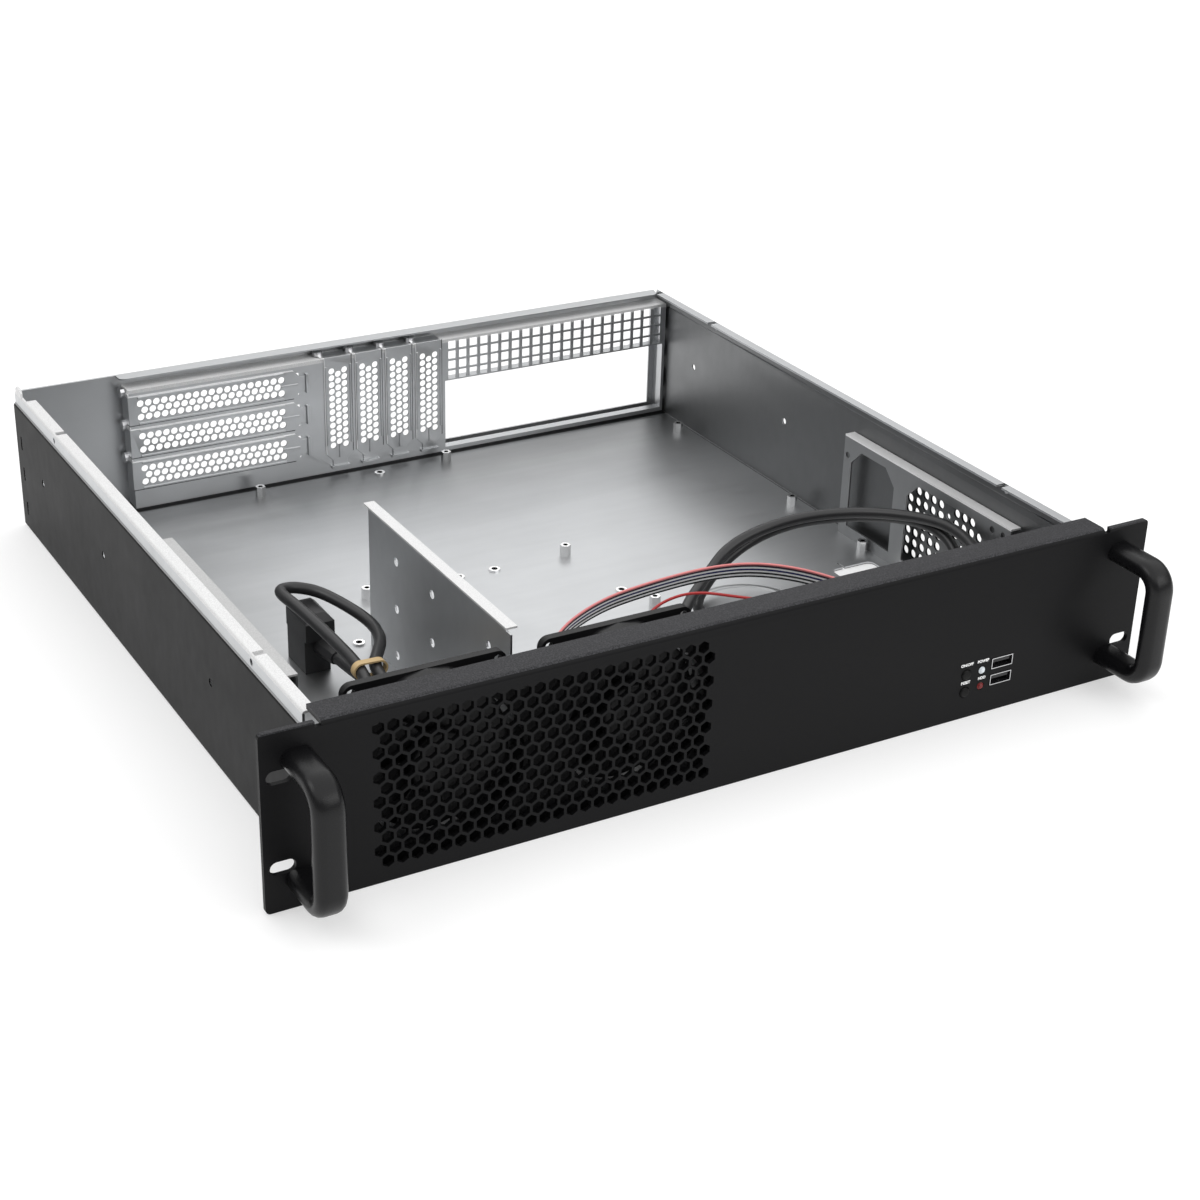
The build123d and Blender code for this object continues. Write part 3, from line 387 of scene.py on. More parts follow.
@dataclass(frozen=True)
class Holes:
    """Rows of round holes in a sheet, in millimetres.

    Attributes:
        start: centre of the first hole along the rows.
        pitch: distance between holes in a row.
        count: holes in a row.
        first_row: level of the first row.
        row_pitch: distance between rows.
        rows: number of rows.
        diameter: of each hole.
        stagger: whether each second row is moved by half a pitch and has one hole less.
    """

    start: float
    pitch: float
    count: int
    first_row: float
    row_pitch: float
    rows: int
    diameter: float
    stagger: bool = True

    def mask(self, graph: Graph, along: Socket, across: Socket) -> Socket:
        """Mask that is 1 inside the holes.

        Args:
            graph: the material's graph.
            along: coordinate along the rows.
            across: coordinate across the rows.

        Returns:
            The mask.
        """
        half = 0.5
        row = (across - self.first_row) / self.row_pitch
        row_number = row.rounded()
        shift = (row_number * half).fraction() if self.stagger else 0.0
        hole = (along - self.start) / self.pitch - shift
        hole_number = hole.rounded()
        du = (hole - hole_number) * self.pitch
        dv = (row - row_number) * self.row_pitch
        inside = graph.distance(du, dv) < self.diameter / 2
        inside = inside * (hole_number > -half) * (hole_number + shift * 2.0 < self.count - half)
        return inside * graph.between(row_number, -half, self.rows - half)


WALL_VENTS = tuple(
    Holes(start, pitch, count=5, first_row=11.2, row_pitch=6.47, rows=8, diameter=5.0, stagger=False)
    for start, pitch in ((129.6, 6.75), (89.0, 6.6))
)
FLAT_HOLES = Holes(-145.3, 4.87, count=19, first_row=-4.2, row_pitch=4.2, rows=3, diameter=4.2)
UPRIGHT_HOLES = Holes(20.2, 4.4, count=12, first_row=-4.2, row_pitch=4.2, rows=3, diameter=4.0)


# Finishes


@dataclass(frozen=True)
class Finish:
    """Surface of one material.

    Attributes:
        slot: name of the material: a slot of the record, or what a single node's own finish is called.
        colour: base colour.
        roughness: mean roughness.
        metallic: 1 for bare metal.
        spread: change of roughness and brightness over the surface.
        grain: features of the fine texture in a metre.
        depth: height of the fine texture in millimetres.
    """

    slot: str
    colour: Colour
    roughness: float = 0.5
    metallic: float = 0.0
    spread: float = 0.08
    grain: float = 900.0
    depth: float = 0.03

    def build(self) -> bpy.types.Material:
        """Makes the material with its patterns.

        Returns:
            The material.
        """
        graph = Graph(self.slot)
        self.paint(graph)
        return graph.material

    def brighter(self, share: float) -> Colour:
        """The base colour made lighter by a share, or darker by a negative one."""
        return tuple(min(1.0, c * (1 + share)) for c in self.colour)

    def texture(self, graph: Graph, pattern: Socket, swing: float, strength: float) -> None:
        """Feeds roughness, which swings to either side of its mean, and bump from one fine pattern."""
        graph.set(Roughness=graph.lerp(pattern, self.roughness - swing, self.roughness + swing))
        graph.bump(pattern, strength, self.depth * MM)

    def paint(self, graph: Graph) -> None:
        """Feeds colour from soft clouds, roughness and bump from fine noise.

        Args:
            graph: the material's graph.
        """
        cloud = graph.noise(scale=18.0, detail=3.0)
        tint = graph.blend(cloud, self.brighter(-self.spread), self.brighter(self.spread))
        graph.set(Base_Color=tint, Metallic=self.metallic)
        self.texture(graph, graph.noise(self.grain), swing=self.spread / 2, strength=0.35)


@dataclass(frozen=True)
class PowderCoat(Finish):
    """Black coat with a fine pebbled texture.

    Attributes:
        gloss: strength of its reflections, 0.5 for a clear varnish.
        worn: height above which the coat has a painted highlight, on top of the folded edge.
        pale: how many times brighter the painted highlight is.
    """

    gloss: float = 0.5
    worn: float = 87.3
    pale: float = 10.0

    def paint(self, graph: Graph) -> None:
        """Feeds roughness and bump from pebbles in a cell pattern, colour from clouds and a painted highlight.

        Args:
            graph: the material's graph.
        """
        point = graph.node("TexCoord", output="Object")
        pebbles = graph.node("TexVoronoi", {"Vector": point, "Scale": self.grain}, output="Distance")
        coat = graph.blend(graph.noise(scale=9.0, detail=3.0), self.colour, self.brighter(3 * self.spread))
        # Painted highlight: the coat is made paler on top of the folded edge, where the light from above falls.
        edge = graph.blend(pebbles, coat, self.brighter(self.pale - 1))
        graph.set(
            Base_Color=graph.blend(graph.axes()[2] > self.worn, coat, edge),
            Metallic=self.metallic,
            Specular_IOR_Level=self.gloss,
        )
        self.texture(graph, pebbles, swing=self.spread, strength=0.5)


@dataclass(frozen=True)
class Sheen:
    """What a bare sheet feeds to the shader.

    Attributes:
        colour: its colour.
        roughness: its roughness.
        metallic: 1 for bare metal, less on an edge with a painted highlight.
        grain: height of its fine texture.
    """

    colour: Socket
    roughness: Socket
    metallic: Socket | float
    grain: Socket


@dataclass(frozen=True)
class Galvanised(Finish):
    """Zinc coated sheet: soft clouds, a faint rolling direction and fine grain.

    Attributes:
        rolled: stretch of the marks of rolling, which run along X.
        rolling: share of these marks in the sheet's pattern, the rest being clouds.
        lip: height above which a folded edge has a painted highlight, if it has one.
        lip_dark: darkest colour of that painted highlight.
        lip_light: lightest colour of that painted highlight.
        lip_dull: how much less metallic that edge is, so that the painted highlight shows.
        crease: height of the painted shade line along the sheet's foot.
        crease_dark: share of the colour that this painted shade takes.
        emboss: strength of the bump.
    """

    rolled: Point = (0.12, 1.0, 0.6)
    rolling: float = 0.4
    lip: float | None = None
    lip_dark: float = 0.45
    lip_light: float = 0.95
    lip_dull: float = 0.8
    crease: float = 0.0
    crease_dark: float = 0.85
    emboss: float = 0.25

    def folded(self, graph: Graph) -> Socket:
        """Mask of the sheet's folded top edge."""
        return graph.axes()[2] > self.lip

    def sheen(self, graph: Graph) -> Sheen:
        """Mixes clouds and rolling marks, with a painted highlight on the folded edge and a painted shade line at the
        foot.

        Args:
            graph: the material's graph.

        Returns:
            The bare sheet's colour, roughness, metallic and grain.
        """
        clouds = graph.noise(scale=26.0, detail=4.0)
        marks = graph.noise(scale=150.0, stretch=self.rolled)
        grain = graph.noise(self.grain)
        mixed = clouds * (1.0 - self.rolling) + marks * self.rolling
        colour = graph.blend(mixed, self.brighter(-self.spread), self.brighter(self.spread))
        rough = graph.lerp(mixed, self.roughness + self.spread, self.roughness - self.spread)
        if self.lip is None:
            return Sheen(colour, rough, self.metallic, grain)
        # Painted highlight: the folded edge gets a bright grainy colour and less metal, for the light it catches.
        edge = self.folded(graph)
        bright = graph.blend(grain, (self.lip_dark,) * 3, (self.lip_light,) * 3)
        colour = graph.blend(edge, colour, bright)
        # Painted shade: a dark line along the sheet's foot, where it meets the floor.
        if self.crease:
            foot = graph.axes()[2] < self.crease
            colour = graph.blend(foot * self.crease_dark, colour, BLACK)
        return Sheen(colour, rough, self.metallic - edge * self.lip_dull, grain)

    def paint(self, graph: Graph) -> None:
        """Feeds the bare sheet to the shader.

        Args:
            graph: the material's graph.
        """
        bare = self.sheen(graph)
        graph.set(Base_Color=bare.colour, Roughness=bare.roughness, Metallic=bare.metallic)
        graph.bump(bare.grain, self.emboss, self.depth * MM)


@dataclass(frozen=True)
class Fade:
    """Loss of light that grows along one axis.

    Attributes:
        clear: coordinate up to which nothing is lost.
        full: coordinate from which the whole share is lost.
        share: share of the colour that is lost there.
    """

    clear: float
    full: float
    share: float

    def loss(self, graph: Graph, value: Socket) -> Socket:
        """Share of the colour lost at a coordinate."""
        return graph.ramp(value, self.clear, self.full) * self.share


# The tray's colour holds painted shade, painted reflections and a painted highlight on the lips and band.
@dataclass(frozen=True)
class TraySheet(Galvanised):
    """Galvanised inside and on the top band, coated black outside, with vents, bores and an embossed ring.

    Attributes:
        coat: colour of the outside.
        coat_rough: its roughness.
        gloss: strength of the reflections of sheet and coat.
        skin: distance from the middle beyond which a wall is coated.
        coat_top: top of the coated part.
        underside: level below which the floor is coated.
        floor_top: level below which a point lies on the floor.
        vents: blocks of holes in the right wall.
        wall_from: X beyond which a point lies on the right wall.
        wall_dark: share of the light that the right wall loses, a painted reflection of the black front part.
        wall_front: what it loses besides towards the front, along Y, in the same painted reflection.
        band_dark: share of the light lost by the band under the left lip.
        joggle: heights between which the left wall's joggle is in shadow.
        joggle_from: distance from the middle beyond which that is.
        bay: what the drive bay's floor loses, along X, a painted reflection of its brackets.
        rear: what the floor by the card bracket loses, along Y, as painted shade.
        foot: depths between which that bracket's foot leaves a painted shade line.
        foot_left: X from which the line starts.
        foot_dark: share of the light lost there.
        bores: middles of the bores in the floor, darkened with painted shade.
        bore: their radius.
        bore_dark: share of the light lost there.
        ring: middle and radius of the embossed ring in the floor.
        ring_flank: distances from its middle line where it starts and where it is full.
        ring_rise: its height as a multiple of the grain's.
    """

    lip: float | None = 81.7
    emboss: float = 0.3
    coat: Colour = (0.006, 0.006, 0.0063)
    coat_rough: float = 0.5
    gloss: float = 0.12
    skin: float = 214.4
    coat_top: float = 75.4
    underside: float = 0.3
    floor_top: float = 1.4
    vents: tuple[Holes, ...] = WALL_VENTS
    wall_from: float = 212.4
    wall_dark: float = 0.6
    wall_front: Fade = Fade(330.0, 150.0, 0.1)
    band_dark: float = 0.45
    joggle: Pair = (74.1, 75.6)
    joggle_from: float = 213.4
    bay: Fade = Fade(-60.0, -200.0, 0.35)
    rear: Fade = Fade(330.0, 426.0, 0.6)
    foot: Pair = (420.3, 425.0)
    foot_left: float = -152.0
    foot_dark: float = 0.9
    bores: tuple[Pair, ...] = ()
    bore: float = 1.75
    bore_dark: float = 0.97
    ring: Point = (102.2, 149.2, 29.4)
    ring_flank: Pair = (2.4, 0.3)
    ring_rise: float = 200.0

    def folded(self, graph: Graph) -> Socket:
        """Mask of the left lip and of the band outside both lips, which get the painted highlight."""
        x, _, z = graph.axes()
        return graph.most((z > self.lip) * (x < 0.0), (x.size() > self.skin) * (z > self.coat_top))

    def shadow(self, graph: Graph) -> Socket:
        """Painted shade: share of the light lost by place.

        The right wall mirrors the black front part, and the drive bay's floor mirrors its brackets. The
        floor by the card bracket, the line under its foot, the bores, the band under the lip and the joggle
        lie in shade.

        Args:
            graph: the material's graph.

        Returns:
            The share that is lost.
        """
        x, y, z = graph.axes()
        wall = (x > self.wall_from) * (z < self.lip) * (self.wall_front.loss(graph, y) + self.wall_dark)
        band = (x < -self.skin) * graph.between(z, self.coat_top, self.lip) * self.band_dark
        joggle = (x < -self.joggle_from) * graph.between(z, *self.joggle)
        foot = graph.between(y, *self.foot) * (x > self.foot_left) * self.foot_dark
        bores = graph.discs(self.bores, self.bore) * self.bore_dark
        floor = graph.most(self.bay.loss(graph, x), self.rear.loss(graph, y), foot, bores)
        return graph.most(floor * (z < self.floor_top), wall, band, joggle)

    def embossed(self, graph: Graph) -> Socket:
        """Height of the ring: full within the flank's inner distance of its circle, none past the outer one.

        Args:
            graph: the material's graph.

        Returns:
            The height, as a multiple of the grain's.
        """
        x, y, z = graph.axes()
        middle_x, middle_y, radius = self.ring
        away = (graph.distance(x - middle_x, y - middle_y) - radius).size()
        return graph.ramp(away, *self.ring_flank) * (z < self.floor_top) * self.ring_rise

    def paint(self, graph: Graph) -> None:
        """Mixes sheet and coat by place, darkens the sheet with painted shade, cuts the vents and embosses the ring.

        Args:
            graph: the material's graph.
        """
        bare = self.sheen(graph)
        x, y, z = graph.axes()
        coated = graph.most((x.size() > self.skin) * (z < self.coat_top), z < self.underside)
        cut = sum(block.mask(graph, y, z) for block in self.vents)
        # Painted shade and painted reflections darken the bare sheet by place.
        dull = graph.blend(self.shadow(graph), bare.colour, BLACK)
        graph.set(
            Base_Color=graph.blend(coated, dull, self.coat),
            Roughness=bare.roughness + coated * (self.coat_rough - self.roughness),
            Metallic=bare.metallic - coated * bare.metallic,
            Alpha=1.0 - cut * (x > self.wall_from),
            Specular_IOR_Level=self.gloss,
        )
        graph.bump(bare.grain + self.embossed(graph), self.emboss, self.depth * MM)


class Lie(Enum):
    """Which way a slot cover runs."""

    UPRIGHT = "upright"
    FLAT = "flat"


@dataclass(frozen=True)
class CoverSheet(Galvanised):
    """Perforated slot cover.

    Attributes:
        lie: which way the cover runs.
        middle: its middle line, in X or in Z.
        half: half of its width.
        rim: width of its rim with a painted highlight.
        rim_light: colour of that painted highlight.
        gap: width of the rim opposite, darkened with painted shade.
        gap_dark: share of the light lost there.
        face_rear: depth in front of which the perforated face lies.
        holes: its holes, with rows counted from the middle line.
    """

    lie: Lie = Lie.FLAT
    middle: float = 0.0
    half: float = 9.2
    rim: float = 0.5
    rim_light: Colour = (0.95, 0.95, 0.95)
    gap: float = 0.6
    gap_dark: float = 0.85
    face_rear: float = 424.0
    holes: Holes = FLAT_HOLES

    def paint(self, graph: Graph) -> None:
        """Cuts the holes in the cover's face and draws its rim, which stands off the bracket, in painted highlight and
        shade.

        Args:
            graph: the material's graph.
        """
        bare = self.sheen(graph)
        x, y, z = graph.axes()
        flat = self.lie is Lie.FLAT
        along, across = (x, z) if flat else (z, x)
        cut = self.holes.mask(graph, along, across - self.middle) * (y < self.face_rear)
        offset = across - self.middle if flat else self.middle - across
        # Painted highlight on one rim, painted shade along the opposite one.
        rim_highlighted = graph.blend(offset > self.half - self.rim, bare.colour, self.rim_light)
        gap_shaded = graph.blend((offset < self.gap - self.half) * self.gap_dark, rim_highlighted, BLACK)
        graph.set(Base_Color=gap_shaded, Roughness=bare.roughness, Metallic=bare.metallic, Alpha=1.0 - cut)
        graph.bump(bare.grain, self.emboss, self.depth * MM)


@dataclass(frozen=True)
class BoredRing(Finish):
    """Bright rings with painted shade in their bores.

    Attributes:
        places: their middles.
        bore: radius of the bores.
        bore_colour: colour of the painted shade inside them.
    """

    places: tuple[Pair, ...] = ()
    bore: float = 1.75
    bore_colour: Colour = (0.01, 0.01, 0.01)

    def paint(self, graph: Graph) -> None:
        """Paints shade on what is nearer to a middle than the bore's radius.

        Args:
            graph: the material's graph.
        """
        bored = graph.discs(self.places, self.bore)
        graph.set(Base_Color=graph.blend(bored, self.colour, self.bore_colour), Metallic=1.0 - bored)
        self.texture(graph, graph.noise(self.grain), swing=self.spread / 2, strength=0.35)


@dataclass(frozen=True)
class PortShell(Finish):
    """Steel shell of a port, dark inside from the tongue's own black and painted shade, with contacts on its tongue.

    Attributes:
        x: middle of the ports.
        levels: heights of the ports.
        opening: half of the opening's width and height.
        tongue: half of the tongue's width and height.
        contact_pitch: distance between contacts.
        contact_half: half of a contact's width as a share of the pitch.
        contact_reach: depths between which the contacts lie.
        contact_colour: colour of the contacts.
        dark: colour inside the opening: the tongue's own black and painted shade round it.
    """

    x: float = 154.6
    levels: tuple[float, ...] = (27.2, 18.0)
    opening: Pair = (6.25, 2.55)
    tongue: Pair = (4.4, 2.0)
    contact_pitch: float = 2.2
    contact_half: float = 0.2
    contact_reach: Pair = (0.9, 7.0)
    contact_colour: Colour = (0.85, 0.85, 0.85)
    dark: Colour = (0.012, 0.012, 0.013)

    def window(self, graph: Graph, half: Pair) -> Socket:
        """Mask of a rectangle round the middle of every port.

        Args:
            graph: the material's graph.
            half: half of its width and height.

        Returns:
            The mask.
        """
        x, _, z = graph.axes()
        beside = (x - self.x).size() < half[0]
        return sum(beside * ((z - level).size() < half[1]) for level in self.levels)

    def paint(self, graph: Graph) -> None:
        """Paints the opening dark, the tongue's own black with painted shade round it, and marks the contacts by
        place.

        Args:
            graph: the material's graph.
        """
        x, y, _ = graph.axes()
        strip = (((x - self.x) / self.contact_pitch).fraction() - 0.5).size() < self.contact_half
        contact = self.window(graph, self.tongue) * strip * graph.between(y, *self.contact_reach)
        inner = graph.blend(contact, self.dark, self.contact_colour)
        # The opening: the black tongue's own colour and painted shade in the cavity round it.
        inside = self.window(graph, self.opening)
        graph.set(Base_Color=graph.blend(inside, self.colour, inner), Metallic=1.0 - inside)
        self.texture(graph, graph.noise(self.grain), swing=self.spread, strength=0.2)


@dataclass(frozen=True)
class StrandPaint(Finish):
    """Strands of a ribbon in different colours, by the ribbon's own UV map.

    Attributes:
        strands: their colours from one side to the other.
    """

    strands: tuple[Colour, ...] = ()

    def paint(self, graph: Graph) -> None:
        """Steps through the strand colours across the ribbon.

        Args:
            graph: the material's graph.
        """
        uv = graph.node("TexCoord", output="UV")
        across = graph.node("SeparateXYZ", {0: uv}, output=1)
        colour: Socket | Colour = self.strands[0]
        for i, strand in enumerate(self.strands[1:], 1):
            colour = graph.blend(across > i / len(self.strands), colour, strand)
        graph.set(Base_Color=colour)
        self.texture(graph, graph.noise(self.grain), swing=self.spread, strength=0.2)


GREY: Colour = (0.56, 0.57, 0.58)
# Painted highlights on folded top edges, by height and colour; the card bracket also gets a painted shade line.
LIPS = {
    "card_bracket": dict(lip=74.8, crease=2.6),
    "drive_bracket_left": dict(lip=80.7, lip_dark=0.3, lip_light=0.6),
    "drive_divider": dict(lip=79.1),
    "supply_bracket": dict(lip=62.3, lip_dark=0.95, lip_light=1.0, colour=(0.34, 0.345, 0.35)),
}
SPACER_PLACES = (
    (-78.34, 256.06), (-78.34, 411.0), (46.12, 256.06), (46.12, 411.0), (58.0, 176.0),
    (203.6, 183.67), (203.6, 256.06), (203.6, 388.14),
)
NUT_PLACES = ((-104.5, 208.5), (-22.0, 256.1), (0.4, 256.06), (0.4, 411.0), (51.4, 200.9))
COVER_PITCH = 20.32
UPRIGHT_X = tuple(-20.9 + COVER_PITCH * i for i in range(4))
FLAT_Z = tuple(64.0 - COVER_PITCH * i for i in range(3))
RIBBON_STRANDS = (
    (0.01, 0.01, 0.01), (0.90, 0.90, 0.90), (0.01, 0.01, 0.01), (0.90, 0.90, 0.90),
    (0.012, 0.012, 0.10), (0.90, 0.90, 0.90), (0.03, 0.012, 0.03), (0.66, 0.20, 0.20),
)
PANEL_BLACK: Colour = (0.006, 0.006, 0.0065)
HANDLE_BLACK: Colour = (0.004, 0.004, 0.0045)
BUTTON_BLACK: Colour = (0.003, 0.003, 0.003)
FINISHES = (
    PowderCoat("panel_black", PANEL_BLACK, 0.42, spread=0.06, grain=1400.0, depth=0.05, gloss=0.11),
    PowderCoat("handle_black", HANDLE_BLACK, 0.30, spread=0.05, grain=2600.0, depth=0.02, gloss=0.28),
    Galvanised("galvanised", GREY, 0.40, metallic=1.0, spread=0.05, grain=2400.0, depth=0.01),
    Finish("bright_steel", (0.66, 0.66, 0.67), 0.28, metallic=1.0, spread=0.05, grain=2000.0, depth=0.01),
    Finish("spacer_metal", (0.85, 0.85, 0.84), 0.22, metallic=1.0, spread=0.05, grain=2000.0, depth=0.01),
    Finish("screw_black", (0.02, 0.02, 0.02), 0.4, metallic=0.4, spread=0.05),
    PowderCoat("fan_plastic", PANEL_BLACK, 0.40, spread=0.06, grain=1500.0, depth=0.02, gloss=0.3),
    PowderCoat("button_plastic", BUTTON_BLACK, 0.35, spread=0.05, grain=2400.0, depth=0.01, gloss=0.15),
    Finish("board_green", (0.02, 0.10, 0.05), 0.35, spread=0.1, grain=1200.0, depth=0.02),
    Finish("lamp_clear", (0.75, 0.80, 0.84), 0.12, spread=0.02, depth=0.0),
    Finish("lamp_red", (0.16, 0.006, 0.006), 0.15, spread=0.02, depth=0.0),
    Finish("cord_rubber", (0.016, 0.016, 0.017), 0.38, spread=0.05, grain=900.0, depth=0.03),
    Finish("plug_rubber", (0.015, 0.015, 0.016), 0.45, spread=0.05, grain=1300.0, depth=0.03),
    Finish("tie_tan", (0.50, 0.36, 0.18), 0.6, spread=0.12, grain=1500.0, depth=0.05),
    StrandPaint("ribbon", GREY, 0.4, spread=0.03, grain=1400.0, depth=0.01, strands=RIBBON_STRANDS),
    Finish("wire_red", (0.42, 0.02, 0.02), 0.35, spread=0.04, grain=1400.0, depth=0.01),
)


class Palette:
    """All finishes, made once, with the material of any node."""

    def __init__(self, record: dict[str, Any]) -> None:
        """Makes the slots' materials and those that belong to single nodes.

        Args:
            record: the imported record, which names each node's slot.
        """
        self.slots = {s["node"]: s["material_slot"] for s in record["subparts"]}
        self.materials = {finish.slot: finish.build() for finish in FINISHES}
        zinc = dict(colour=GREY, roughness=0.40, metallic=1.0, spread=0.09, grain=2400.0, depth=0.015)
        ring = dict(colour=(0.9, 0.9, 0.9), roughness=0.2, metallic=1.0, spread=0.04, depth=0.01)
        own: dict[str, Finish] = {
            "base_tray": TraySheet("tray", bores=NUT_PLACES, **zinc),
            "floor_nuts": BoredRing("floor_nut", places=NUT_PLACES, **ring),
            "board_spacers": BoredRing("spacer", places=SPACER_PLACES, bore=1.4, **ring),
        }
        for node, edge in LIPS.items():
            own[node] = Galvanised(f"{node}_sheet", **{**zinc, **edge})
        for i, x in enumerate(UPRIGHT_X, 1):
            own[f"upright_slot_cover_{i}"] = CoverSheet(
                f"upright_cover_{i}", lie=Lie.UPRIGHT, middle=x, holes=UPRIGHT_HOLES, **zinc
            )
        for i, z in enumerate(FLAT_Z, 1):
            own[f"flat_slot_cover_{i}"] = CoverSheet(
                f"flat_cover_{i}", lie=Lie.FLAT, middle=z, holes=FLAT_HOLES, **zinc
            )
        self.own = {node: finish.build() for node, finish in own.items()}
        steel: Colour = (0.75, 0.75, 0.76)
        shell = PortShell("port_shell", steel, roughness=0.25, metallic=1.0, spread=0.04, depth=0.01).build()
        self.own.update(usb_port_upper=shell, usb_port_lower=shell)

    def of(self, node: str) -> bpy.types.Material:
        """Material of a node by its name."""
        return self.own.get(node) or self.materials[self.slots[node]]


# Pieces


def put_on(piece: bpy.types.Object, material: bpy.types.Material) -> None:
    """Gives a piece one material."""
    piece.data.materials.clear()
    piece.data.materials.append(material)


def new_piece(name: str, data: Any) -> bpy.types.Object:
    """Links a new object at the origin.

    Args:
        name: name of the piece.
        data: its mesh or curve.

    Returns:
        The piece.
    """
    piece = bpy.data.objects.new(name, data)
    bpy.context.scene.collection.objects.link(piece)
    log.info("piece %s", name)
    return piece


def show(piece: bpy.types.Object, node: str, body: str, palette: Palette) -> None:
    """Dresses a piece and lets it stand for a CAD node on a body.

    Args:
        piece: the piece.
        node: the CAD node that it stands for.
        body: the body that carries it.
        palette: the finishes.
    """
    put_on(piece, palette.of(node))
    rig.replaces(piece, node)
    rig.ride(piece, body)


def bevel_edges(piece: bpy.types.Object, width: float, angle: float, segments: int = 2) -> Any:
    """Rounds a piece's edges.

    Args:
        piece: the piece.
        width: width of the rounding in millimetres.
        angle: least angle of an edge that is rounded, in degrees.
        segments: steps across the rounding.

    Returns:
        The modifier.
    """
    edge = piece.modifiers.new("edges", "BEVEL")
    edge.width = width * MM
    edge.segments = segments
    edge.limit_method = "ANGLE"
    edge.angle_limit = math.radians(angle)
    return edge


def mesh_of(curve: bpy.types.Curve) -> bpy.types.Mesh:
    """Turns a curve or a text into a mesh.

    Args:
        curve: the curve, laid out at the origin.

    Returns:
        The mesh.
    """
    carrier = bpy.data.objects.new("carrier", curve)
    bpy.context.scene.collection.objects.link(carrier)
    mesh = bpy.data.meshes.new_from_object(carrier.evaluated_get(bpy.context.evaluated_depsgraph_get()))
    bpy.data.objects.remove(carrier)
    return mesh


def merge(mesh: bpy.types.Mesh, distance: float, step: Callable[[bmesh.types.BMesh], None]) -> None:
    """Merges a mesh's doubled points, takes one more step on it and shades it smooth.

    Args:
        mesh: the mesh.
        distance: points nearer than this are one, in millimetres.
        step: what is done to the merged mesh.
    """
    made = bmesh.new()
    made.from_mesh(mesh)
    bmesh.ops.remove_doubles(made, verts=made.verts, dist=distance * MM)
    step(made)
    made.to_mesh(mesh)
    made.free()
    mesh.shade_smooth()


def dissolve_flat(made: bmesh.types.BMesh) -> None:
    """Joins faces that lie within 0.6 degrees of one plane."""
    bmesh.ops.dissolve_limit(made, angle_limit=math.radians(0.6), verts=made.verts, edges=made.edges)


def turn_outwards(made: bmesh.types.BMesh) -> None:
    """Makes the faces point outwards."""
    bmesh.ops.recalc_face_normals(made, faces=made.faces)


@dataclass(frozen=True)
class Polish:
    """Merged and softened copy of a CAD node.

    Attributes:
        node: the CAD node that it stands for.
        bevel: width of the softened edges in millimetres, 0 for none.
        angle: least angle of an edge that stays sharp or is softened, in degrees.
        segments: steps across a softened edge.
    """

    node: str
    bevel: float = 0.0
    angle: float = 30.0
    segments: int = 2

    def build(self, frame: dict[str, Any], palette: Palette) -> bpy.types.Object:
        """Makes the copy and hides the node behind it.

        Args:
            frame: the loaded frame.
            palette: the finishes.

        Returns:
            The new piece.
        """
        source = frame["nodes"][self.node]
        mesh = source.data.copy()
        merge(mesh, 0.002, dissolve_flat)
        mesh.set_sharp_from_angle(angle=math.radians(self.angle))
        piece = new_piece(f"{self.node}_finished", mesh)
        if self.bevel:
            bevel_edges(piece, self.bevel, self.angle, self.segments).harden_normals = True
        show(piece, self.node, source["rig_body"], palette)
        return piece


def grid_quads(rows: int, columns: int, closed: bool) -> np.ndarray:
    """Corner numbers of a grid's quads.

    Args:
        rows: points along the first direction.
        columns: points along the second direction.
        closed: whether the second direction runs round.

    Returns:
        An array of quads, four numbers each.
    """
    steps = columns if closed else columns - 1
    i, j = np.meshgrid(np.arange(rows - 1), np.arange(steps), indexing="ij")
    here, below = i * columns, (i + 1) * columns
    after = (j + 1) % columns
    return np.stack([here + j, below + j, below + after, here + after], axis=-1).reshape(-1, 4)


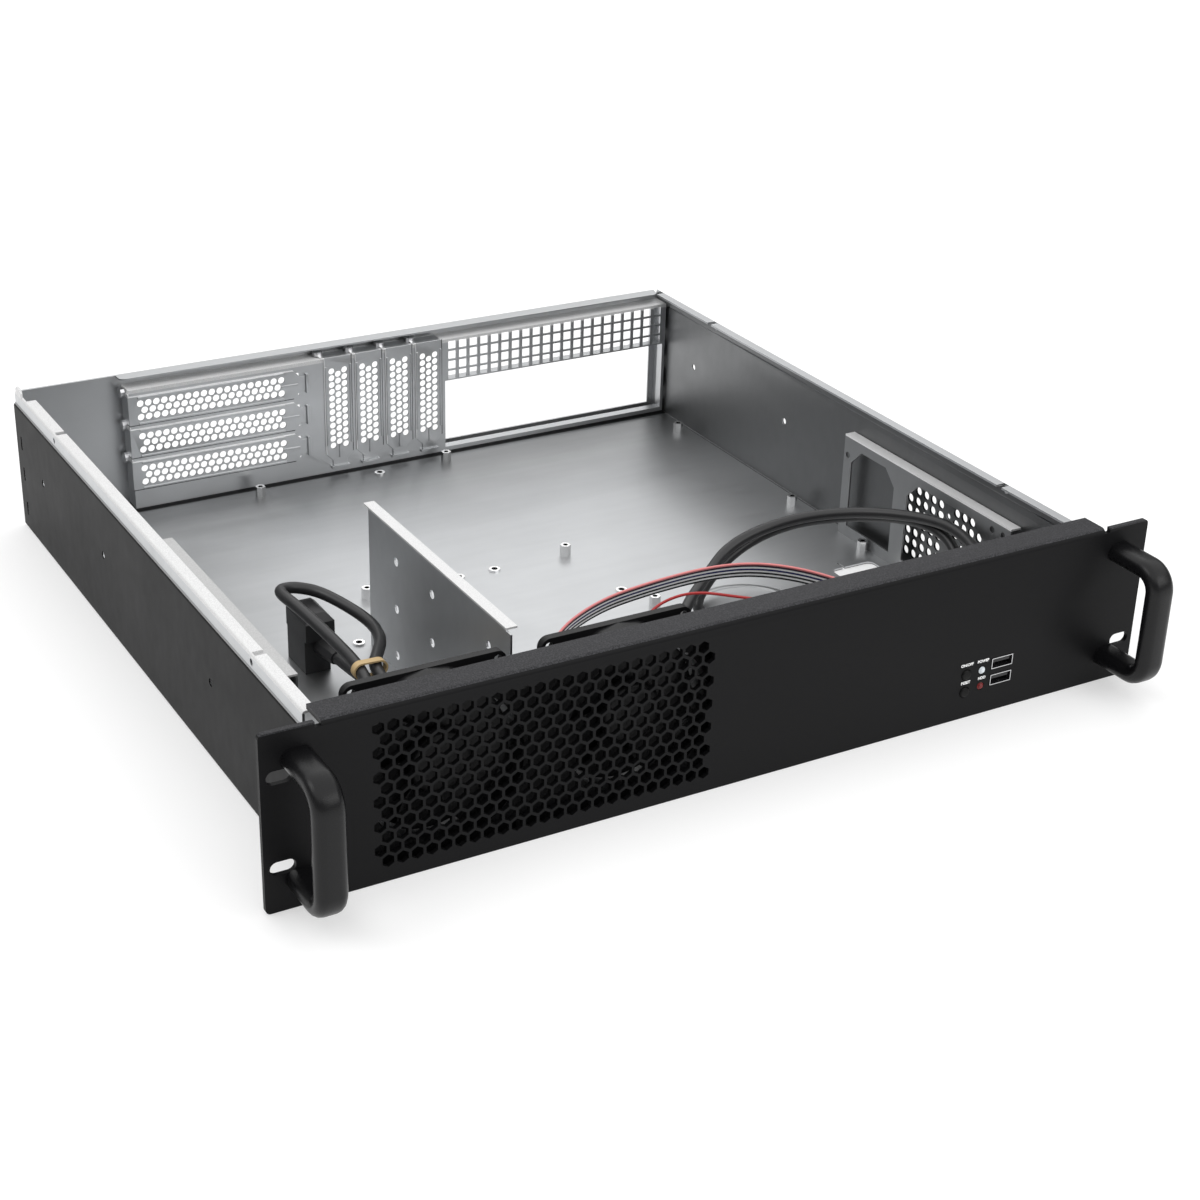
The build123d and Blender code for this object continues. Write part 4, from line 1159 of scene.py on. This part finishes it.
@dataclass(frozen=True)
class FanRotor:
    """Moulded rotor: a hub cup and swept blades that overlap seen from the front.

    Attributes:
        node: the CAD node that it stands for.
        x: middle of the fan in case coordinates.
        z: middle of the fan in case coordinates.
        front: front of the hub.
        rear: rear of the hub.
        hub: radius of the hub.
        hub_edge: its rounded front edge: distance inside that radius and depth behind the front.
        tip: radius of the blades' tips.
        root: how far the blades' roots go into the hub.
        blades: number of blades.
        span: angle that one blade covers at its tip, in degrees.
        narrowing: share of that angle that is missing at the root.
        sweep: how far the tip runs ahead of the root, in degrees.
        sweep_power: power with which the sweep grows along the blade.
        rise: depth that a blade climbs through at its root, over half of the hub's depth.
        flattening: share of that climb that is missing at the tip.
        camber: height of the arc that is added to the climb.
        wall: thickness of the blades.
        rounding: width of their rounded edges.
    """

    node: str
    x: float
    z: float = 42.9
    front: float = 13.9
    rear: float = 30.9
    hub: float = 15.5
    hub_edge: tuple[Pair, ...] = ((4.0, 0.0), (1.6, 0.35), (0.5, 1.1), (0.0, 2.4))
    tip: float = 36.5
    root: float = 0.6
    blades: int = 7
    span: float = 86.0
    narrowing: float = 0.18
    sweep: float = 22.0
    sweep_power: float = 1.5
    rise: float = 0.8
    flattening: float = 0.25
    camber: float = 1.2
    wall: float = 1.1
    rounding: float = 0.25

    def hub_points(self, sides: int = 48) -> np.ndarray:
        """Profile of the cup turned round the axis: x and z are the radius times the angle's cosine and sine.

        Args:
            sides: points round the axis.

        Returns:
            One grid of points: profile by angle, in millimetres from the middle of the hub's front.
        """
        axis, depth = 0.01, self.rear - self.front
        edge = [(self.hub - inside, behind) for inside, behind in self.hub_edge]
        profile = np.array([(axis, 0.0), *edge, (self.hub, depth), (axis, depth)])
        radius, behind = profile[:, :1], profile[:, 1:]
        angle = np.linspace(0.0, 2 * math.pi, sides, endpoint=False)
        return np.stack([radius * np.cos(angle), behind + 0 * angle, radius * np.sin(angle)], axis=-1)[None]

    def blade_points(self, along: int = 14, across: int = 12) -> np.ndarray:
        """Helical patches: the angle is turn, sweep and chord added up, the depth climbs along the chord.

        Args:
            along: points from root to tip.
            across: points over the chord.

        Returns:
            One grid of points for each blade: length by chord, in millimetres as for the hub.
        """
        number = np.arange(self.blades)[:, None, None]
        share = np.linspace(0.0, 1.0, along)[:, None]
        chord = np.linspace(-0.5, 0.5, across)
        start = self.hub - self.root
        radius = start + (self.tip - start) * share
        turn = 2 * math.pi * number / self.blades + np.radians(self.sweep) * share ** self.sweep_power
        width = np.radians(self.span) * (1.0 - self.narrowing * (1.0 - share))
        angle = turn + width * chord
        half = (self.rear - self.front) / 2
        climb = half * self.rise * (1.0 - self.flattening * share) * chord
        depth = half + climb + self.camber * (1.0 - 4.0 * chord ** 2)
        return np.stack([radius * np.cos(angle), depth + 0 * angle, radius * np.sin(angle)], axis=-1)

    def skin(self, name: str, grids: np.ndarray, closed: bool) -> bpy.types.Mesh:
        """Mesh of several equal grids, carried to the fan's middle.

        Args:
            name: name of the mesh.
            grids: points by grid, row and column.
            closed: whether the columns run round.

        Returns:
            The mesh.
        """
        count, rows, columns = grids.shape[:3]
        starts = rows * columns * np.arange(count)[:, None, None]
        faces = (starts + grid_quads(rows, columns, closed)).reshape(-1, 4)
        points = grids.reshape(-1, 3) * MM + np.array(place(self.x, self.front, self.z))
        mesh = bpy.data.meshes.new(name)
        mesh.from_pydata(points.tolist(), [], faces.tolist())
        merge(mesh, 0.03, turn_outwards)
        return mesh

    def build(self, frame: dict[str, Any], palette: Palette) -> bpy.types.Object:
        """Makes hub and blades in place of the node.

        Args:
            frame: the loaded frame.
            palette: the finishes.

        Returns:
            The hub.
        """
        hub = new_piece(f"{self.node}_hub", self.skin("hub", self.hub_points(), True))
        hub.data.set_sharp_from_angle(angle=math.radians(40.0))
        blades = new_piece(f"{self.node}_blades", self.skin("blades", self.blade_points(), False))
        wall = blades.modifiers.new("wall", "SOLIDIFY")
        wall.thickness = self.wall * MM
        wall.offset = 0.0
        bevel_edges(blades, self.rounding, 50.0)
        for piece in (hub, blades):
            show(piece, self.node, frame["nodes"][self.node]["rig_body"], palette)
        return hub


ROTORS = (FanRotor("left_fan_rotor", -150.5), FanRotor("right_fan_rotor", -53.0))


# Cords


LEAD_ROUTE: tuple[Point, ...] = (
    (-132, 173, 16), (-130, 151, 16), (-128, 126, 19), (-127, 98, 19), (-128, 70, 15),
    (-142, 54, 14), (-162, 52, 17), (-170, 68, 24), (-160, 90, 32), (-145.5, 103.5, 36),
    (-142.3, 121, 37.8), (-142.5, 151, 38.5), (-147, 185, 42.6), (-149, 205, 42.1), (-145.5, 211.5, 41.1),
    (-137, 212.6, 39.8), (-125, 205.5, 37.2), (-114, 172.3, 34), (-118.5, 148, 35.3), (-128, 132.5, 36.7),
    (-135.3, 121, 37.3), (-137, 99, 36), (-133, 72, 30.5), (-118, 50, 22), (-98, 41.5, 17), (-66, 41.5, 11),
    (-32, 46.4, 7.2), (0, 64, 5.3), (23.7, 90.2, 5.4), (40.2, 121.5, 7.5),
    (58, 147.8, 10.5), (84.7, 168.2, 15.8), (109.8, 181.8, 26.4), (145.5, 178, 35.3), (174.5, 158.6, 42),
    (195, 128, 47.5), (202.5, 101.4, 49.5), (197, 71, 45.2), (180, 48, 37),
    (157, 38.4, 27), (130, 43.2, 16.2), (106.8, 59.3, 6.5), (88, 86.8, 4.8), (75.4, 116, 4.8),
    (70.4, 150, 4.8),
    (80, 168.5, 5.3), (113, 186.4, 17.5), (145.5, 184, 29.5), (176, 164.6, 37), (198.4, 133.8, 43),
    (203, 108, 42), (200, 92, 31), (191, 86, 18), (185.5, 78, 13.5), (184.5, 64, 13),
)
RIBBON_PLAN = (
    (140, 22), (126.5, 58), (104.7, 86.8), (78.8, 106.7), (51.7, 115.8), (17.7, 119.8),
    (-11.7, 120.6), (-40.7, 112.3), (-60.2, 90.2), (-63, 63),
)
WIRE_ROUTE: tuple[Point, ...] = (
    (152, 13.8, 16), (152, 34, 16), (145.5, 60, 18), (127.5, 87, 21), (105, 110.2, 21.5),
    (84, 130, 21.1), (63.4, 146.4, 22.3), (44.8, 151, 17.3), (32.5, 146.7, 10.7), (26, 133, 3.4),
    (22.4, 125.3, 3.4),
)


@dataclass(frozen=True)
class Cord:
    """Round cord along a smooth line.

    Attributes:
        name: name of the piece.
        node: the CAD node that it stands for.
        route: its control points in case coordinates.
        diameter: in millimetres.
        length: in millimetres.
        far_end: what it ends in.
        stiffness: how it bends.
        with_nodes: CAD nodes that are on it.
    """

    name: str
    node: str
    route: tuple[Point, ...]
    diameter: float
    length: float
    far_end: str
    stiffness: str
    with_nodes: tuple[str, ...] = ()

    def line(self, bevel: float) -> bpy.types.Curve:
        """Smooth spline with the route as its control points.

        Args:
            bevel: radius of the tube in millimetres, 0 for a bare line.

        Returns:
            The curve.
        """
        curve = bpy.data.curves.new(self.name, "CURVE")
        curve.dimensions = "3D"
        curve.resolution_u = 8
        curve.render_resolution_u = 8
        spline = curve.splines.new("NURBS")
        spline.points.add(len(self.route) - 1)
        for point, at in zip(spline.points, self.route):
            point.co = (*place(*at), 1.0)
        spline.order_u = 3
        spline.use_endpoint_u = True
        curve.bevel_depth = bevel * MM
        curve.bevel_resolution = 5
        curve.use_fill_caps = bevel > 0
        return curve

    def with_pieces(self, finished: dict[str, bpy.types.Object]) -> list[bpy.types.Object]:
        """Pieces on the cord."""
        return [finished[node] for node in self.with_nodes]

    def facts(self) -> dict[str, Any]:
        return dict(
            exit=tuple(place(*self.route[0])), length=self.length * MM, diameter=self.diameter * MM,
            far_end=self.far_end, stiffness=self.stiffness, lay="loose",
        )

    def build(self, palette: Palette, finished: dict[str, bpy.types.Object]) -> bpy.types.Object:
        """Args:
            palette: the finishes.
            finished: the piece that shows each node.

        Returns:
            The cord.
        """
        piece = new_piece(self.name, self.line(self.diameter / 2))
        show(piece, self.node, CASE_BODY, palette)
        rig.cord(piece, **self.facts(), with_pieces=self.with_pieces(finished))
        return piece


@dataclass(frozen=True)
class Ribbon(Cord):
    """Flat cord of strands side by side.

    Attributes:
        across: direction across its width.
        thickness: through one strand, in millimetres.
        valley: thickness between two strands as a share of that.
        slip: sideways step from the upper to the lower face, in millimetres.
        strands: number of strands.
        sides: points round one strand's outer half.
    """

    across: Point = (0, 0, 1)
    thickness: float = 1.3
    valley: float = 0.45
    slip: float = 0.02
    strands: int = 8
    sides: int = 5

    def section(self) -> np.ndarray:
        """Outline: each strand bulges as half a sine on both faces, its points spaced as on a half circle.

        Returns:
            Points in order round the ribbon: across and through, in millimetres.
        """
        pitch = self.diameter / self.strands
        turn = np.linspace(0, math.pi, self.sides + 2)[:-1]
        bulge = self.thickness / 2 * (self.valley + (1.0 - self.valley) * np.sin(turn))
        starts = pitch * np.arange(self.strands)[:, None] - self.diameter / 2
        u = (starts + pitch / 2 * (1 - np.cos(turn))).ravel()
        v = np.tile(bulge, self.strands)
        return np.vstack([np.c_[u, v], np.c_[u[::-1] + self.slip, -v[::-1]]])

    def path(self) -> np.ndarray:
        """Points of the smooth line, read from its spline.

        Returns:
            The points in metres.
        """
        mesh = mesh_of(self.line(0.0))
        points = np.empty(len(mesh.vertices) * 3)
        mesh.vertices.foreach_get("co", points)
        bpy.data.meshes.remove(mesh)
        return points.reshape(-1, 3)

    def rings(self, points: np.ndarray, outline: np.ndarray) -> np.ndarray:
        """Outline at each point of the path: its first number runs across, its second along path x across.

        Args:
            points: the path in metres.
            outline: the outline in metres.

        Returns:
            Points by place on the path and in the outline.
        """
        tangents = np.gradient(points, axis=0)
        across = np.array(Vector(self.across).normalized())
        through = np.cross(tangents, across)
        through /= np.linalg.norm(through, axis=1)[:, None]
        return points[:, None] + outline[None, :, :1] * across + outline[None, :, 1:] * through[:, None]

    def map_strands(self, mesh: bpy.types.Mesh, outline: np.ndarray, quads: np.ndarray) -> None:
        """Gives the mesh a UV map in which V is a face's place across the ribbon, and the middle at both ends.

        Args:
            mesh: the ribbon's mesh, with its two ends as the last faces.
            outline: the outline in metres.
            quads: corner numbers of its sides.
        """
        middle, margin = 0.5, 0.001
        levels = (outline[:, 0] / (self.diameter * MM) + middle).clip(margin, 1.0 - margin)
        sides = np.repeat(levels[quads % len(outline)].mean(axis=1), quads.shape[1])
        v = np.concatenate([sides, np.full(2 * len(outline), middle)])
        layer = mesh.uv_layers.new(name="strands")
        layer.data.foreach_set("uv", np.c_[np.full_like(v, middle), v].ravel())

    def build(self, palette: Palette, finished: dict[str, bpy.types.Object]) -> bpy.types.Object:
        """Args:
            palette: the finishes.
            finished: the piece that shows each node.

        Returns:
            The ribbon.
        """
        points = self.path()
        outline = self.section() * MM
        count = len(outline)
        quads = grid_quads(len(points), count, True)
        first = np.arange(count)
        last = (len(points) - 1) * count + first[::-1]
        mesh = bpy.data.meshes.new(self.name)
        rings = self.rings(points, outline).reshape(-1, 3)
        mesh.from_pydata(rings.tolist(), [], [*quads.tolist(), first.tolist(), last.tolist()])
        self.map_strands(mesh, outline, quads)
        mesh.shade_smooth()
        piece = new_piece(self.name, mesh)
        show(piece, self.node, CASE_BODY, palette)
        path = [tuple(point) for point in points]
        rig.cord(piece, **self.facts(), path=path, with_pieces=self.with_pieces(finished))
        return piece


RIBBON_SLOPE = (0.150, 0.375)
RIBBON_LEVEL = 50.0
RIBBON_LEVEL_AT = (81.0, 107.0)


def ribbon_route() -> tuple[Point, ...]:
    """Lifts the ribbon's plan into its slanting plane.

    Returns:
        Its control points in case coordinates.
    """
    slope_x, slope_y = RIBBON_SLOPE
    at_x, at_y = RIBBON_LEVEL_AT
    return tuple((x, y, RIBBON_LEVEL + slope_x * (x - at_x) + slope_y * (y - at_y)) for x, y in RIBBON_PLAN)


CORDS = (
    Cord(
        "lead", "mains_lead", LEAD_ROUTE, diameter=6.2, length=1426.5, far_end="plug", stiffness="medium",
        with_nodes=("left_mains_plug", "right_mains_plug", "lead_tie"),
    ),
    Ribbon(
        "ribbon", "panel_ribbon", ribbon_route(), diameter=10.4, length=292.0, far_end="connector",
        stiffness="limp", with_nodes=("ribbon_plug",), across=(-RIBBON_SLOPE[0], -RIBBON_SLOPE[1], 1.0),
    ),
    Cord(
        "single_wire", "red_wire", WIRE_ROUTE, diameter=1.6, length=225.0, far_end="connector",
        stiffness="limp", with_nodes=("red_wire_plug",),
    ),
)


# Lettering


@dataclass(frozen=True)
class Word:
    """Printed word on the panel's front face.

    Attributes:
        text: generic word.
        x: middle of the word in case coordinates.
        z: foot of the letters in case coordinates.
        height: of a capital in millimetres.
        capital: height of a capital as a share of the font's size.
        relief: half of the ink's thickness in millimetres.
        bold: how much wider each stroke is made on either side, in millimetres.
        gap: distance from the middle of the ink to the panel, in millimetres.
    """

    text: str
    x: float
    z: float
    height: float = 1.5
    capital: float = 0.7
    relief: float = 0.02
    bold: float = 0.08
    gap: float = 0.05

    def build(self, ink: bpy.types.Material) -> bpy.types.Object:
        """Makes the word as a thin mesh that stands in front of the panel.

        Args:
            ink: its material.

        Returns:
            The word.
        """
        font = bpy.data.curves.new("word", "FONT")
        font.body = self.text
        font.size = self.height * MM / self.capital
        font.align_x = "CENTER"
        font.extrude = self.relief * MM
        font.offset = self.bold * MM
        mesh = mesh_of(font)
        front = Matrix.Translation(place(self.x, -self.gap, self.z))
        mesh.transform(front @ Matrix.Rotation(math.radians(90), 4, "X"))
        piece = new_piece("word_" + self.text.lower().replace("/", "_"), mesh)
        put_on(piece, ink)
        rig.slot(piece, "lamp_clear")
        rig.ride(piece, CASE_BODY)
        return piece


WORDS = (
    Word("ON/OFF", 132.3, 29.6),
    Word("POWER", 142.5, 29.6),
    Word("HDD", 142.5, 20.0),
    Word("RESET", 132.3, 19.6),
)


# Surroundings


@dataclass(frozen=True)
class Lamp:
    """Soft rectangular light.

    Attributes:
        name: name of the light.
        at: its place in metres.
        towards: the point that it faces.
        size: sides in metres.
        power: in watts.
    """

    name: str
    at: Point
    towards: Point
    size: Pair
    power: float

    def build(self) -> None:
        """Adds the light and turns it to its point."""
        data = bpy.data.lights.new(self.name, "AREA")
        data.shape = "RECTANGLE"
        data.size, data.size_y = self.size
        data.energy = self.power
        lamp = bpy.data.objects.new(self.name, data)
        bpy.context.scene.collection.objects.link(lamp)
        lamp.location = self.at
        facing = Vector(self.towards) - Vector(self.at)
        lamp.rotation_euler = facing.to_track_quat("-Z", "Y").to_euler()


LAMPS = (
    Lamp("rear_softbox", at=(1.2, 2.5, 1.4), towards=(0.05, 0.25, 0.0), size=(1.9, 0.8), power=5.0),
    Lamp("left_softbox", at=(-1.6, 0.3, 1.7), towards=(0.1, 0.1, 0.0), size=(1.0, 1.0), power=6.0),
    Lamp("front_softbox", at=(1.2, -1.9, 1.2), towards=(0.05, 0.3, 0.0), size=(2.0, 1.0), power=14.0),
)


@dataclass(frozen=True)
class View:
    """Camera at the photograph's viewing angle.

    Attributes:
        at: its place in case coordinates.
        forward: its viewing direction.
        right: the picture's right.
        focal: focal length in pixels of the photograph.
        width: the photograph's width in pixels.
        sensor: width of the camera's sensor in millimetres.
        clip: nearest and furthest distance that is seen, in metres.
    """

    at: Point = (-515.03, -735.47, 538.04)
    forward: Point = (0.45534, 0.77139, -0.44455)
    right: Point = (0.86749, -0.49674, 0.0266)
    focal: float = 2187.8
    width: float = 1200.0
    sensor: float = 36.0
    clip: Pair = (0.01, 60.0)

    def build(self) -> None:
        """Adds the camera and makes it the scene's."""
        data = bpy.data.cameras.new("camera")
        data.sensor_width = self.sensor
        data.lens = self.focal / self.width * self.sensor
        data.clip_start, data.clip_end = self.clip
        camera = bpy.data.objects.new("camera", data)
        bpy.context.scene.collection.objects.link(camera)
        forward = Vector(self.forward).normalized()
        right = Vector(self.right).normalized()
        up = right.cross(forward)
        turn = Matrix((right, up, -forward)).transposed().to_4x4()
        camera.matrix_world = Matrix.Translation(place(*self.at)) @ turn
        bpy.context.scene.camera = camera


@dataclass(frozen=True)
class Studio:
    """Pale floor, even sky, lamps and camera.

    Attributes:
        half: half of the floor's side in metres.
        gap: distance of the floor under the case in millimetres.
        paper: brightness of the floor's colour.
        glow: strength of the floor's own light.
        sky: strength of the sky.
        overhead: strength of the light from above.
        overhead_spread: angle that it comes from, in degrees.
        lamps: the soft lights.
        view: the camera.
    """

    half: float = 30.0
    gap: float = 0.2
    paper: float = 0.6
    glow: float = 0.4
    sky: float = 0.3
    overhead: float = 2.6
    overhead_spread: float = 115.0
    lamps: tuple[Lamp, ...] = LAMPS
    view: View = View()

    def add_floor(self) -> None:
        """Lays a square floor that gives a little light of its own."""
        mesh = bpy.data.meshes.new("floor")
        level = place(0.0, 0.0, -self.gap).z
        corners = [(x * self.half, y * self.half, level) for x, y in ((-1, -1), (1, -1), (1, 1), (-1, 1))]
        mesh.from_pydata(corners, [], [(0, 1, 2, 3)])
        piece = new_piece("floor", mesh)
        graph = Graph("floor_paper")
        graph.set(
            Base_Color=(self.paper, self.paper, self.paper, 1.0), Roughness=0.9,
            Emission_Color=(1.0, 1.0, 1.0, 1.0), Emission_Strength=self.glow,
        )
        put_on(piece, graph.material)
        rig.stage(piece)

    def add_sky(self) -> None:
        """Surrounds the scene with even white light."""
        world = bpy.data.worlds.new("sky")
        world.use_nodes = True
        light = world.node_tree.nodes["Background"]
        light.inputs["Color"].default_value = (1.0, 1.0, 1.0, 1.0)
        light.inputs["Strength"].default_value = self.sky
        bpy.context.scene.world = world

    def add_overhead(self) -> None:
        """Adds the wide light from above."""
        light = bpy.data.lights.new("overhead", "SUN")
        light.energy = self.overhead
        light.angle = math.radians(self.overhead_spread)
        bpy.context.scene.collection.objects.link(bpy.data.objects.new("overhead", light))

    def build(self) -> None:
        """Sets up floor, sky, lights and camera."""
        self.add_floor()
        self.add_sky()
        for lamp in self.lamps:
            lamp.build()
        self.add_overhead()
        bpy.context.scene.view_settings.view_transform = "Standard"
        self.view.build()


# Whole model


@dataclass
class ServerCase:
    """Finished pieces over the frame.

    Attributes:
        frame: the loaded frame.
        palette: the finishes.
        finished: the piece that shows each node.
    """

    frame: dict[str, Any]
    palette: Palette
    finished: dict[str, bpy.types.Object] = field(default_factory=dict)

    def polishes(self) -> Sequence[Polish]:
        """Which nodes get merged and softened copies.

        Returns:
            One polish for each.
        """
        rounded = ("left_handle", "right_handle", "lead_tie")
        covers = [name for name in self.frame["nodes"] if "slot_cover_" in name and "screws" not in name]
        sheets = ("front_panel", "rear_panel", "card_bracket", "base_tray", *covers)
        drilled = ("drive_bracket_left", "drive_divider", "supply_bracket")
        moulded = ("left_mains_plug", "right_mains_plug")
        small = ("power_button", "reset_button", "power_lamp", "drive_lamp")
        return (
            *(Polish(node, angle=35.0) for node in rounded),
            *(Polish(node, bevel=0.2, angle=40.0) for node in sheets),
            *(Polish(node, angle=20.0) for node in drilled),
            *(Polish(node, bevel=0.9, angle=30.0, segments=3) for node in moulded),
            *(Polish(node, bevel=0.15, angle=35.0) for node in small),
        )

    def build(self) -> None:
        """Dresses every node and adds cords and lettering."""
        for name, node in self.frame["nodes"].items():
            put_on(node, self.palette.of(name))
            self.finished[name] = node
            log.info("node %s", name)
        for polish in self.polishes():
            self.finished[polish.node] = polish.build(self.frame, self.palette)
        for rotor in ROTORS:
            self.finished[rotor.node] = rotor.build(self.frame, self.palette)
        for cord in CORDS:
            self.finished[cord.node] = cord.build(self.palette, self.finished)
        ink = Finish("ink", (0.97, 0.97, 0.97), 0.6, spread=0.02, depth=0.0).build()
        for word in WORDS:
            word.build(ink)


def main() -> None:
    """Builds the whole scene, and writes the boxes of the CAD model and of the visual model."""
    logging.basicConfig(level=logging.INFO)
    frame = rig.load()
    cad_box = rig.bounds()
    ServerCase(frame, Palette(frame["record"])).build()
    Studio().build()
    visual_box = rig.bounds()
    sizes = {"cad": [list(corner) for corner in cad_box], "visual": [list(corner) for corner in visual_box]}
    with open("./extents.json", "w") as out:
        json.dump(sizes, out)


if __name__ == "__main__":
    main()
